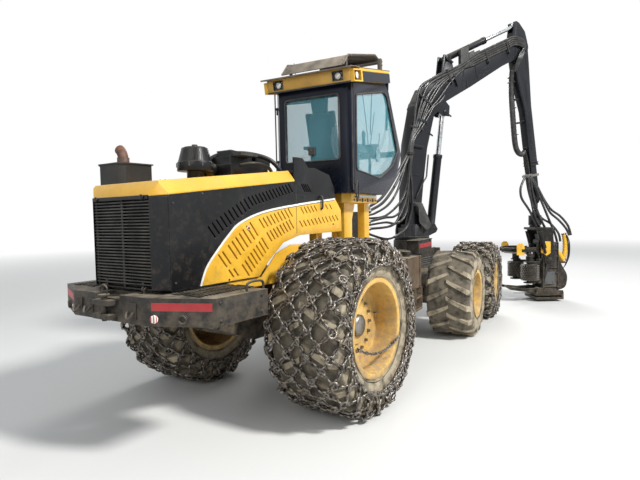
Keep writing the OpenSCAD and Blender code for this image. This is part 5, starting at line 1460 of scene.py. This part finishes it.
ribs.box(0.40, 0.46, -0.20, 0.20, 0.225, 0.265)
ribs.make("head_frame_ribs", head_paint, "head", HEAD, bevel=0.002)

# %% Trim of the tilt frame
TILT_X, TILT_Z = -0.19, 0.86
tilt_trim, tilt_yellow = batches(2)
for s in (-1, 1):
    tilt_trim.disc([(0, 0), (0, 0.065), (0.014, 0.065), (0.020, 0.055), (0.020, 0.030), (0.034, 0.028),
                    (0.034, 0)], 24, facing((TILT_X, s * 0.298, TILT_Z), (0, s, 0)))
    for x, z in circle(6, 0.05):
        tilt_trim.bolt(0.010, 0.008, facing((TILT_X + x, s * 0.317, TILT_Z + z), (0, s, 0)))
    tilt_trim.disc([(0, 0), (0, 0.050), (0.36, 0.050), (0.36, 0.026), (0.47, 0.026), (0.47, 0)], 18,
                   facing((0.03, s * 0.326, 1.47), (-0.25, 0, -1)))
    tilt_yellow.slab([(-0.20, 1.26), (0.00, 1.27), (0.00, 1.04), (-0.12, 0.96), (-0.20, 1.02)],
                     *side_span(s, 0.300, 0.308))
for x, y in circle(8, 0.085):
    tilt_trim.bolt(0.013, 0.012, at(x, y, 1.594))
tilt_trim.make("tilt_frame_trim", head_paint, "tilt", HEAD, bevel=0.001)
tilt_yellow.make("tilt_frame_guards", guard_yellow, "tilt", HEAD, bevel=0.002)

# %% Feed rollers and knives
ROLLER_X, ROLLER_Y, ROLLER_RADIUS = 0.27, 0.38, 0.163
SPIKE_ROWS, SPIKES = 9, 22
SPIKE_FOOT, SPIKE_TIP = 0.012, 0.024

for s, letter in ((1, "l"), (-1, "r")):
    roller_y = s * ROLLER_Y
    spikes, motor, edge = batches(3)
    for row in range(SPIKE_ROWS):
        z = 0.488 + row * 0.036
        for i in range(SPIKES):
            t = 2 * pi * (i + 0.5 * (row % 2)) / SPIKES
            d = Vector((cos(t), sin(t), 0))
            c = Vector((ROLLER_X, roller_y, z)) + d * ROLLER_RADIUS
            across = Vector((-d.y, d.x, 0)) * SPIKE_FOOT
            up_way = Vector((0, 0, SPIKE_FOOT))
            foot = [c + across + up_way, c - across + up_way, c - across - up_way, c + across - up_way]
            spikes.take(foot + [c + d * SPIKE_TIP], [(0, 1, 4), (1, 2, 4), (2, 3, 4), (3, 0, 4)],
                        smooth=False)
    spikes.make("roller_spikes_" + letter, bare_steel, "feed_arm_" + letter, HEAD)
    profile = [(0.0, 0.0), (0.0, 0.105), (0.02, 0.105), (0.02, 0.075), (0.13, 0.070), (0.14, 0.055),
               (0.175, 0.055), (0.18, 0.045), (0.18, 0.0)]
    motor.disc(profile, 24, at(ROLLER_X, roller_y, 0.84))
    motor.disc([(-0.02, 0.0), (-0.02, 0.12), (0.0, 0.12), (0.0, 0.0)], 24, at(ROLLER_X, roller_y, 0.43))
    motor.box(0.24, 0.30, roller_y - 0.03, roller_y + 0.03, 1.015, 1.04)
    for k in (-1, 1):
        motor.hose([(ROLLER_X + 0.02 * k, roller_y, 1.03), (ROLLER_X + 0.02 * k, roller_y, 1.08),
                    (0.17, s * (0.385 + 0.02 * k), 1.09), (0.08, s * (0.33 + 0.02 * k), 1.02),
                    (0.03, s * (0.27 + 0.015 * k), 0.90)], 6, 0.014, 7)
    for x, y in circle(6, 0.088):
        motor.bolt(0.009, 0.008, at(ROLLER_X + x, roller_y + y, 0.86))
    motor.make("roller_motor_" + letter, head_paint, "feed_arm_" + letter, HEAD, bevel=0.001)
    # the ground edge of the delimbing knife, a stiffening rib and a yellow tip guard
    inner = [(0.22, 0.35), (0.41, 0.40), (0.59, 0.28), (0.69, 0.06)]
    blade = []
    for x, y in inner:
        blade.append((x, s * y, 1.062))
        blade.append((x - 0.012, s * (y - 0.010), 1.020))
        blade.append((x, s * y, 1.056))
    faces = []
    for k in range(3):
        a = 3 * k
        faces += [(a, a + 3, a + 4, a + 1), (a + 1, a + 4, a + 5, a + 2), (a, a + 2, a + 5, a + 3)]
    edge.take(blade, faces, smooth=False)
    edge.make("knife_edge_" + letter, bare_steel, "knife_" + letter, HEAD)
    rib = Batch().hose([(0.06, s * 0.27, 1.125), (0.20, s * 0.385, 1.13), (0.42, s * 0.435, 1.13),
                        (0.60, s * 0.32, 1.128), (0.70, s * 0.12, 1.124)], 6, 0.017, 6)
    rib.disc([(0, 0), (0, 0.040), (0.02, 0.040), (0.02, 0.02), (0.034, 0.02), (0.034, 0)], 18,
             at(0.01, s * 0.205, 1.166))
    rib.make("knife_rib_" + letter, head_paint, "knife_" + letter, HEAD)
    tip_guard = Batch()
    tip_guard.slab([(0.40, 1.00), (0.56, 1.00), (0.56, 1.20), (0.52, 1.24), (0.44, 1.24), (0.40, 1.18)],
                   *side_span(s, 0.445, 0.453))
    tip_guard.make("knife_guard_" + letter, guard_yellow, "knife_" + letter, HEAD, bevel=0.002)

# %% Saw chain
saw_chain = Batch()
outline = [(-0.37, -0.296), (0.35, -0.281), (0.362, -0.25), (0.35, -0.219), (-0.37, -0.204)]
loop = [Vector((x, y, 0.110)) for x, y in rounded(outline, 0.03)]
steps = []
for a, b in zip(loop, loop[1:] + loop[:1]):
    count = max(1, round((b - a).length / 0.018))
    steps += [(a.lerp(b, k / count), (b - a).normalized()) for k in range(count)]
for k, (p, d) in enumerate(steps):
    out = Vector((d.y, -d.x, 0))
    m = Matrix((d, out, Vector((0, 0, 1)))).transposed().to_4x4()
    m.translation = p
    saw_chain.box(-0.008, 0.008, -0.004, 0.005 if k % 3 else 0.009, -0.0035, 0.0035, m)
saw_chain.make("saw_chain", bare_steel, "saw", HEAD)
print("saw chain:", len(steps), "links")

# %% Measuring wheel and bolts of the link
MEASURE_X, MEASURE_Z = -0.04, 0.60
wheel = Batch()
toothed = []
for k, a in enumerate(turns(48)):
    r = 0.062 if k % 4 < 2 else 0.052
    toothed.append((MEASURE_X + r * cos(a), MEASURE_Z + r * sin(a)))
wheel.slab(toothed, -0.009, 0.009)
wheel.rod([(MEASURE_X, -0.05, MEASURE_Z), (MEASURE_X, 0.05, MEASURE_Z)], 0.014, 10)
for y in (-0.05, 0.038):
    wheel.slab([(-0.06, 0.58), (-0.02, 0.58), (-0.16, 0.80), (-0.20, 0.80)], y, y + 0.012)
wheel.make("measuring_wheel", bare_steel, "head", HEAD, bevel=0.001)
link_bolts = Batch()
for x, y in circle(10, 0.080):
    link_bolts.bolt(0.010, 0.010, at(x, y, 1.862))
link_bolts.make("rotator_bolts", head_paint, "link", HEAD)
print("head dressed")

# %% [markdown]
# ## Cab roof, lamps and guard
# The band across the back is the hood's yellow made a darker ochre, as painted shade; the plain yellow
# shows in a small lamp box at each rear corner and as a thin strip along the roof's edge. The rest of the
# roof's side is navy like the cab. A thin lip overhangs the band, the rear lamps sit deep in black pockets,
# and the branch guard is bare bent plate with rolled edges, held by bolted posts.

# %% Roof trim
ROOF = FRONT @ at(CAB_X, 0, EAVE) @ Matrix.Rotation(-atan2(0.230, 1.180), 4, "Y")
BAND_FACE = 0.559
REAR_LAMP_Y = 0.4
LAMP_LOW, LAMP_HIGH = 0.004, 0.112
roof_side, roof_lip, roof_gold, pockets, lenses, glossy = batches(6)
for s in (-1, 1):
    y0, y1 = side_span(s, BAND_FACE, BAND_FACE + 0.007)
    lamp_y = s * REAR_LAMP_Y
    roof_side.slab([(0.175, -0.004), (1.205, -0.004), (1.205, 0.112), (0.175, 0.112)], y0, y1)
    # lamp box on the side: a folded frame round a dark recess
    for x0, x1, z0, z1 in ((-0.085, 0.165, LAMP_HIGH, 0.126), (-0.085, 0.165, -0.012, LAMP_LOW),
                           (-0.085, -0.070, LAMP_LOW, LAMP_HIGH), (0.125, 0.165, LAMP_LOW, LAMP_HIGH)):
        roof_gold.box(x0, x1, *side_span(s, BAND_FACE, 0.606), z0, z1)
    pockets.box(-0.070, 0.125, *side_span(s, BAND_FACE, BAND_FACE + 0.006), LAMP_LOW, LAMP_HIGH)
    pockets.disc([(0, 0), (0, 0.042), (0.020, 0.050), (0.030, 0.050), (0.030, 0)], 24,
                 facing((0.028, s * 0.562, 0.058), (0, s, 0)))
    lenses.disc([(0, 0), (0, 0.042), (0.006, 0.030), (0.008, 0)], 24,
                facing((0.028, s * 0.592, 0.058), (0, s, 0)))
    # rear pocket liners
    for z in (0.018, 0.118):
        pockets.box(-0.096, -0.02, lamp_y - 0.068, lamp_y + 0.068, z, z + 0.009)
    for aside in (-0.068, 0.059):
        pockets.box(-0.096, -0.02, lamp_y + aside, lamp_y + aside + 0.009, 0.018, 0.127)
    pockets.disc([(0, 0.045), (0.010, 0.050), (0.026, 0.050), (0.026, 0.042), (0.012, 0.040)], 24,
                 facing((-0.068, lamp_y, 0.072), (-1, 0, 0)))
    lenses.disc([(0, 0), (0, 0.041), (0.010, 0.034), (0.013, 0)], 24,
                facing((-0.070, lamp_y, 0.072), (-1, 0, 0)))
    # corner tube of the cab, and the yellow rail along the roof's edge
    glossy.hose([(1.16, s * 0.545, 0.12), (1.20, s * 0.53, 0.02), (1.29, s * 0.46, -0.30),
                 (1.36, s * 0.40, -0.62)], 6, 0.017, 8)
    roof_gold.slab([(0.175, 0.118), (1.20, 0.118), (1.20, 0.152), (0.175, 0.152)], y0, y1 + 0.002 * s)
roof_lip.slab([(-0.150, 0.148), (0.10, 0.150), (0.10, 0.160), (-0.150, 0.158), (-0.156, 0.140),
               (-0.150, 0.140)], -0.605, 0.605)
roof_lip.box(-0.098, 1.22, -0.572, 0.572, 0.149, 0.157)
pockets.box(-0.094, -0.05, -0.56, 0.56, -0.014, 0.002)
roof_side.make("roof_side_panels", cab_paint, "front", ROOF, bevel=0.002)
roof_lip.make("roof_lip", guard_paint, "front", ROOF, bevel=0.003)
roof_gold.make("roof_lamp_frames", yellow_paint, "front", ROOF, bevel=0.002)
pockets.make("roof_lamp_pockets", black_plastic, "front", ROOF, bevel=0.002)
lenses.make("roof_lamp_lenses", lamp_lens, "front", ROOF)
glossy.make("cab_corner_tubes", cab_paint, "front", ROOF)

# %% Branch guard
guard = Batch()
GUARD_LINE = [(0.86, 3.642), (1.00, 3.793), (1.85, 4.013), (2.08, 3.962)]
for s in (-1, 1):
    y = s * (CAB_HALF - 0.10)
    guard.rod([(x, y, z) for x, z in GUARD_LINE], 0.010, 6)
    for x, z in ((0.93, 3.70), (1.25, 3.845), (1.60, 3.935), (1.84, 3.995)):
        guard.bolt(0.011, 0.008, facing((x, y - s * 0.04, z + 0.012), (-0.2, 0, 1)))
    for z in (3.70, 3.78, 3.90, 3.95):
        guard.bolt(0.014, 0.010, facing((1.975, s * 0.465, z), (0, s, 0)))
    guard.box(1.935, 2.015, s * 0.44 - 0.035, s * 0.44 + 0.035, 3.655, 3.690)
for y in (-0.28, -0.09, 0.10, 0.29):
    guard.slab([(1.02, 3.760), (1.84, 3.972), (1.84, 3.998), (1.02, 3.786)], y, y + 0.008)
guard.rod([(2.08, -0.42, 3.958), (2.08, 0.42, 3.958)], 0.010, 6)
guard.make("roof_guard_edges", guard_paint, "front", FRONT, bevel=0.001)

# %% Beacon and twigs on the roof
beacon = Batch()
beacon.disc([(0.0, 0.0), (0.0, 0.062), (0.018, 0.062), (0.022, 0.050), (0.098, 0.046), (0.108, 0.030),
             (0.110, 0.0)], 28, at(0.90, -0.15, 0.155))
beacon.make("roof_beacon", amber_lens, "front", ROOF)
beacon_foot = Batch().disc([(0.0, 0.0), (0.0, 0.075), (0.022, 0.072), (0.024, 0.0)], 28,
                           at(0.90, -0.15, 0.152))
beacon_foot.hose([(0.20, 0.2, 0.17), (0.45, 0.05, 0.166), (0.70, -0.10, 0.17), (0.86, -0.14, 0.166)], 6,
                 0.008, 6)
beacon_foot.rod([(0.25, 0.33, 0.15), (0.24, 0.33, 0.34)], 0.004, 6)
beacon_foot.make("beacon_foot_and_cable", black_plastic, "front", ROOF)
litter = Batch()
rng = random.Random(11)
for k in range(70):
    p = Vector((rng.uniform(0.0, 1.0), rng.uniform(-0.45, 0.45), 0.160))
    a = rng.uniform(0, 6.28)
    d = Vector((cos(a), sin(a), rng.uniform(0.0, 0.3))) * rng.uniform(0.03, 0.11)
    litter.rod([p, p + d * 0.5 + Vector((0, 0, 0.004)), p + d], [0.004, 0.003, 0.001], 5)
litter.make("roof_twigs", guard_paint, "front", ROOF)

# %% Mirrors, base ring and inside of the cab
BASE_FACE = 0.390
ARMREST_Y = 0.31
inside, mirror, base_trim, base_white = batches(4)
for s in (-1, 1):
    centre = Vector((1.86, s * 0.43, 2.70))
    oval = [centre + Vector((0.075 * cos(a), 0, 0.10 * sin(a))) for a in turns(24)]
    rim_faces = [(k, (k + 1) % 24, (k + 1) % 24 + 24, k + 24) for k in range(24)]
    mirror.take([p + Vector((0, thick, 0)) for thick in (0.012, -0.012) for p in oval],
                [tuple(range(23, -1, -1)), tuple(range(24, 48))] + rim_faces, smooth=False)
    inside.hose([centre, centre + Vector((0.06, 0.0, 0.16)), centre + Vector((0.13, -s * 0.02, 0.30))], 5,
                0.007, 6)
    base_white.box(1.20, 1.88, *side_span(s, BASE_FACE + 0.0005, BASE_FACE + 0.0035), 2.118, 2.146)
    for x in (1.25, 1.42, 1.59, 1.76):
        base_trim.disc([(0, 0), (0, 0.026), (0.003, 0.026), (0.0035, 0)], 18,
                       facing((x, s * BASE_FACE, 2.085), (0, s, 0)))
    for x in (1.16, 1.335, 1.505, 1.675, 1.85):
        base_trim.bolt(0.012, 0.009, facing((x, s * BASE_FACE, 2.085), (0, s, 0)))
# two joysticks on armrests, a screen on its post, a box and a cable: what shows through the tinted panes
for s in (-1, 1):
    inside.disc([(0, 0.020), (0.04, 0.018), (0.08, 0.024), (0.12, 0.026), (0.15, 0.014), (0.152, 0)], 16,
                at(1.68, s * ARMREST_Y, 2.85))
    inside.disc([(0, 0.045), (0.02, 0.040), (0.045, 0.022), (0.05, 0.022)], 16,
                at(1.68, s * ARMREST_Y, 2.757))
    inside.box(1.25, 1.52, s * ARMREST_Y - 0.05, s * ARMREST_Y + 0.05, 2.762, 2.800)
inside.box(1.95, 1.99, 0.12, 0.36, 2.64, 2.80)
inside.hose([(2.00, 0.24, 2.66), (2.04, 0.22, 2.50), (2.04, 0.22, 2.24)], 6, 0.018, 8)
inside.box(0.90, 1.04, -0.40, 0.40, 2.20, 2.52)
inside.hose([(1.35, -0.44, 3.45), (1.50, -0.42, 3.10), (1.62, -0.40, 2.80)], 6, 0.006, 6)
inside.make("cab_inside_fittings", black_plastic, "front", FRONT, bevel=0.004)
mirror.make("inside_mirrors", chrome, "front", FRONT)
base_white.make("cab_base_white_stripe", white_paint, "front", FRONT)
base_trim.make("cab_base_holes_and_bolts", black_plastic, "front", FRONT)

# %% [markdown]
# ## The seat
# The cushions are foam in woven cloth. They start as rounded blocks a little too small, are inflated for
# a moment by a cloth simulation without gravity, and are held back where they would swell too far. Piping
# is laid along the seams afterwards.

# %% The seat's plain blocks
SWELL_LIMIT = 0.024
SWELL_FRAMES = 20


def evaluated_copy(thing):
    graph = bpy.context.evaluated_depsgraph_get()
    graph.update()
    return bpy.data.meshes.new_from_object(thing.evaluated_get(graph))


shapes = Batch()
shapes.box(1.200, 1.670, -0.228, 0.228, 2.512, 2.606)
back_place = at(1.24, 0, 2.58) @ Matrix.Rotation(radians(-12), 4, "Y")
head_place = at(1.10, 0, 3.20) @ Matrix.Rotation(radians(-8), 4, "Y")
shapes.box(-0.108, -0.012, -0.218, 0.218, 0.0, 0.625, back_place)
shapes.box(-0.080, -0.012, -0.120, 0.120, -0.02, 0.185, head_place)

# %% One padded skin, swollen like foam
rough = shapes.make("seat_blocks", seat_fabric, None)
soften = rough.modifiers.new("soft corners", "BEVEL")
soften.width, soften.segments = 0.026, 3
skin = rough.modifiers.new("one skin", "REMESH")
skin.mode, skin.voxel_size = "VOXEL", 0.0085
mesh = evaluated_copy(rough)
bpy.data.objects.remove(rough)
seat = bpy.data.objects.new("padded_seat", mesh)
bpy.context.scene.collection.objects.link(seat)
before = [v.co.copy() for v in mesh.vertices]
cloth = seat.modifiers.new("foam", "CLOTH")
cloth.settings.quality = 4
cloth.settings.use_pressure = True
cloth.settings.uniform_pressure_force = 4.0
cloth.settings.effector_weights.gravity = 0.0
cloth.point_cache.frame_start, cloth.point_cache.frame_end = 1, SWELL_FRAMES
for number in range(1, SWELL_FRAMES + 1):
    bpy.context.scene.frame_set(number)
swollen = evaluated_copy(seat)
seat.modifiers.remove(cloth)
for vertex, old, new in zip(mesh.vertices, before, swollen.vertices):
    move = new.co - old
    vertex.co = old + (move if move.length < SWELL_LIMIT else move.normalized() * SWELL_LIMIT)
bpy.data.meshes.remove(swollen)
bpy.context.scene.frame_set(1)
mesh.polygons.foreach_set("use_smooth", [True] * len(mesh.polygons))
seat.modifiers.new("finer", "SUBSURF").levels = 1
mesh.materials.clear()
mesh.materials.append(seat_fabric)
mesh.transform(FRONT)
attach(seat, "front")
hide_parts("seat_cushion")

# %% Seat piping
piping = Batch()
for y in (-0.13, 0.13):
    piping.hose([(1.24, y, 2.628), (1.45, y, 2.636), (1.66, y, 2.622), (1.688, y, 2.57)], 6, 0.005, 6)
    piping.rod([back_place @ Vector((0.012, y, z)) for z in (0.06, 0.22, 0.42, 0.60)], 0.005, 6)
piping.make("seat_piping", black_plastic, "front", FRONT)
print("seat:", len(mesh.vertices), "points")

# %% [markdown]
# ## Around the hood
# The air intake stands among dusty boxes with a curved pipe over them. Plain plates cover the cut corners
# beside the grille, a bar closes it at the top, and twigs have gathered on the flat of the hood.

# %% Intake, grille plates and twigs
CLEANER_X, CLEANER_Y = -0.86, 0.06
stack, pipe, clips = batches(3)
pipe.hose([(-0.62, 0.16, 2.46), (-0.50, 0.10, 2.53), (-0.30, -0.05, 2.55), (-0.12, -0.20, 2.50),
           (-0.03, -0.28, 2.40), (0.0, -0.30, 2.30)], 8, 0.024, 10)
pipe.hose([(CLEANER_X, CLEANER_Y, 2.36), (-0.72, CLEANER_Y, 2.36), (-0.64, 0.08, 2.37), (-0.58, 0.10, 2.38)],
          6, 0.055, 14)
pipe.hose([(-0.55, -0.22, 2.40), (-0.42, -0.30, 2.42), (-0.24, -0.30, 2.40), (-0.10, -0.24, 2.36)], 6,
          0.018, 8)
stack.box(-0.545, -0.30, -0.24, -0.12, 2.498, 2.535)
stack.slab([(-0.50, 2.555), (-0.16, 2.528), (-0.16, 2.545), (-0.50, 2.572)], -0.06, 0.14)
for a in turns(9):
    clips.box(-0.008, 0.008, 0.164, 0.176, -0.03, 0.01,
              at(CLEANER_X, CLEANER_Y, 2.41) @ Matrix.Rotation(a, 4, "Z"))
clips.disc([(0, 0), (0, 0.10), (0.010, 0.10), (0.016, 0.03), (0.034, 0.026), (0.036, 0)], 18,
           at(CLEANER_X, CLEANER_Y, 2.558))
stack.make("intake_covers", black_plastic, "hood", REAR, bevel=0.004)
pipe.make("intake_pipes", hood_black, "hood", REAR)
clips.make("precleaner_clips", black_plastic, "hood", REAR, bevel=0.001)
grille_posts = Batch()
for s in (-1, 1):  # plain plates over the cut corners
    a, b = Vector((-1.722, s * 0.366, 0)), Vector((-1.645, s * 0.492, 0))
    out = Vector((-(b - a).y, (b - a).x, 0)).normalized() * -s * -0.006
    out = out if out.x < 0 else -out
    ring = [a, b, b + out, a + out]
    corner = [Vector((p.x, p.y, z)) for z in (1.350, 2.070) for p in ring]
    sides = [(0, 1, 5, 4), (1, 2, 6, 5), (2, 3, 7, 6), (3, 0, 4, 7), (0, 3, 2, 1), (4, 5, 6, 7)]
    grille_posts.take(corner, sides if s < 0 else [f[::-1] for f in sides], smooth=False)
grille_posts.box(-1.736, -1.722, -0.36, 0.36, 2.055, 2.085)
for y in (-0.30, 0.30):
    grille_posts.disc([(0, 0), (0, 0.022), (0.008, 0.022), (0.010, 0.012), (0.010, 0)], 18,
                      facing((-1.738, y, 2.07), (-1, 0, 0)))
grille_posts.make("grille_posts", hood_black, "hood", REAR, bevel=0.003)
twigs = Batch()
rng = random.Random(5)
for k in range(150):
    x = rng.uniform(-1.55, -0.05)
    p = Vector((x, rng.uniform(-0.38, 0.38), 2.190 + (x + 1.72) * 0.079 + 0.004))
    a = rng.uniform(0, 6.28)
    d = Vector((cos(a), sin(a), rng.uniform(0.0, 0.12))) * rng.uniform(0.015, 0.06)
    twigs.rod([p, p + d * 0.5 + Vector((0, 0, 0.003)), p + d], [0.0028, 0.0022, 0.001], 5)
twigs.make("hood_twigs", guard_paint, "hood", REAR)

# %% [markdown]
# ## Under and between the modules
# A locker with a red stripe stands on each side of the crane's seat, each tank has a filler and straps,
# chains hang ready behind the tanks, and hydraulic pipes run along the frames. Each hub carries a cap in a
# ring of bolts.

# %% Front frame, tanks and pipes
LOCKER_OUT = 0.50
TANK_FACE = 0.760
STRAP_FACE = 0.766
locker, tank_trim, red, hangers, pipes = batches(5)
for s in (-1, 1):
    ya, yb = side_span(s, 0.30, LOCKER_OUT)
    locker.box(3.42, 4.18, ya, yb, 1.245, 1.455)
    locker.box(3.40, 4.20, ya - 0.008, yb + 0.008, 1.450, 1.466)
    red.box(3.46, 4.14, *side_span(s, LOCKER_OUT, LOCKER_OUT + 0.003), 1.335, 1.405)
    for x in (3.55, 4.05):
        locker.box(x - 0.02, x + 0.02, *side_span(s, LOCKER_OUT, LOCKER_OUT + 0.012), 1.425, 1.47)
    for x in (2.02, 2.58):
        tank_trim.box(x, x + 0.045, *side_span(s, TANK_FACE, STRAP_FACE), 0.825, 1.295)
        tank_trim.box(x, x + 0.045, *side_span(s, 0.34, STRAP_FACE), 1.290, 1.296)
        for z in (1.26, 0.86):
            tank_trim.bolt(0.013, 0.010, facing((x + 0.022, s * STRAP_FACE, z), (0, s, 0)))
    tank_trim.disc([(0, 0), (0, 0.055), (0.035, 0.055), (0.040, 0.068), (0.075, 0.068), (0.082, 0.050),
                    (0.082, 0)], 24, at(2.42, s * 0.62, 1.288))
    for z in (0.52, 0.69):
        for k in range(9):
            x = 2.315 + 0.033 * k
            tank_trim.box(x, x + 0.010, *side_span(s, 0.65, 0.79), z + 0.024, z + 0.034)
    for x, low in ((2.66, 0.47), (2.72, 0.52), (2.69, 0.60)):
        top_y = s * (0.70 - 0.03 * (x - 2.6) * 10)
        strand(hangers, Vector((x - 0.02, top_y, 0.85)), Vector((x, top_y + s * 0.01, low)),
               Vector((0, s, 0)), 0.045, 0.034, 0.0065, 0, 0.0, random.Random(int(x * 100)))
    for k in range(4):
        z, y = 1.10 - 0.035 * k, s * 0.297
        pipes.hose([(2.75, y, z), (3.30, y, z - 0.01), (3.80, y, z + 0.01), (4.30, y, z),
                    (5.05, y, z - 0.02)], 4, 0.011, 6)
        pipes.hose([(1.45, s * (0.10 + 0.025 * k), 1.10), (1.75, s * (0.085 + 0.03 * k), 1.02 - 0.02 * k),
                    (2.05, s * (0.12 + 0.03 * k), 1.14)], 7, 0.013, 7)
locker.make("crane_side_lockers", frame_paint, "front", FRONT, bevel=0.004)
red.make("locker_red_stripes", red_paint, "front", FRONT)
tank_trim.make("tank_straps_and_caps", frame_paint, "front", FRONT, bevel=0.002)
hangers.make("hanging_spare_chains", chain_metal, "front", FRONT)
pipes.make("frame_pipes", hose_skin, "front", FRONT)

# %% Bolts round the crane's seat and along the frame
CRANE_SEAT_X = 4.63
ring_bolts = Batch()
for x, y in circle(20, 0.37):
    ring_bolts.bolt(0.016, 0.014, at(CRANE_SEAT_X + x, y, 1.250))
for s in (-1, 1):
    for k in range(7):
        ring_bolts.bolt(0.014, 0.011, facing((2.4 + 0.42 * k, s * 0.290, 1.20), (0, s, 0)))
ring_bolts.make("frame_bolts", frame_paint, "front", FRONT)

# %% Hubs and rims
for name, size in WHEELS.items():
    sign = 1 if name.endswith("l") else -1
    big, rim_r = size is REAR_TYRE, size["rim"]
    hub = Batch()
    face = sign * (0.104 if big else 0.097)
    for x, z in circle(16 if big else 12, rim_r * 0.56):
        hub.bolt(0.017, 0.026, facing((x, face, z), (0, sign, 0)))
    valve = Vector((rim_r * 0.80, face, 0.06))
    hub.rod([valve, valve + Vector((0.02, sign * 0.06, 0.0))], 0.006, 6)
    cap = [(0.0, 0.0), (0.0, rim_r * 0.235), (0.03, rim_r * 0.225), (0.045, rim_r * 0.17), (0.05, 0.0)]
    hub.disc(cap, 32, facing((0, face + sign * 0.022, 0), (0, sign, 0)))
    hub.make("rim_bolts_" + name, bare_steel, "wheel_" + name, wheel_place(name))
print("frames and hubs dressed")
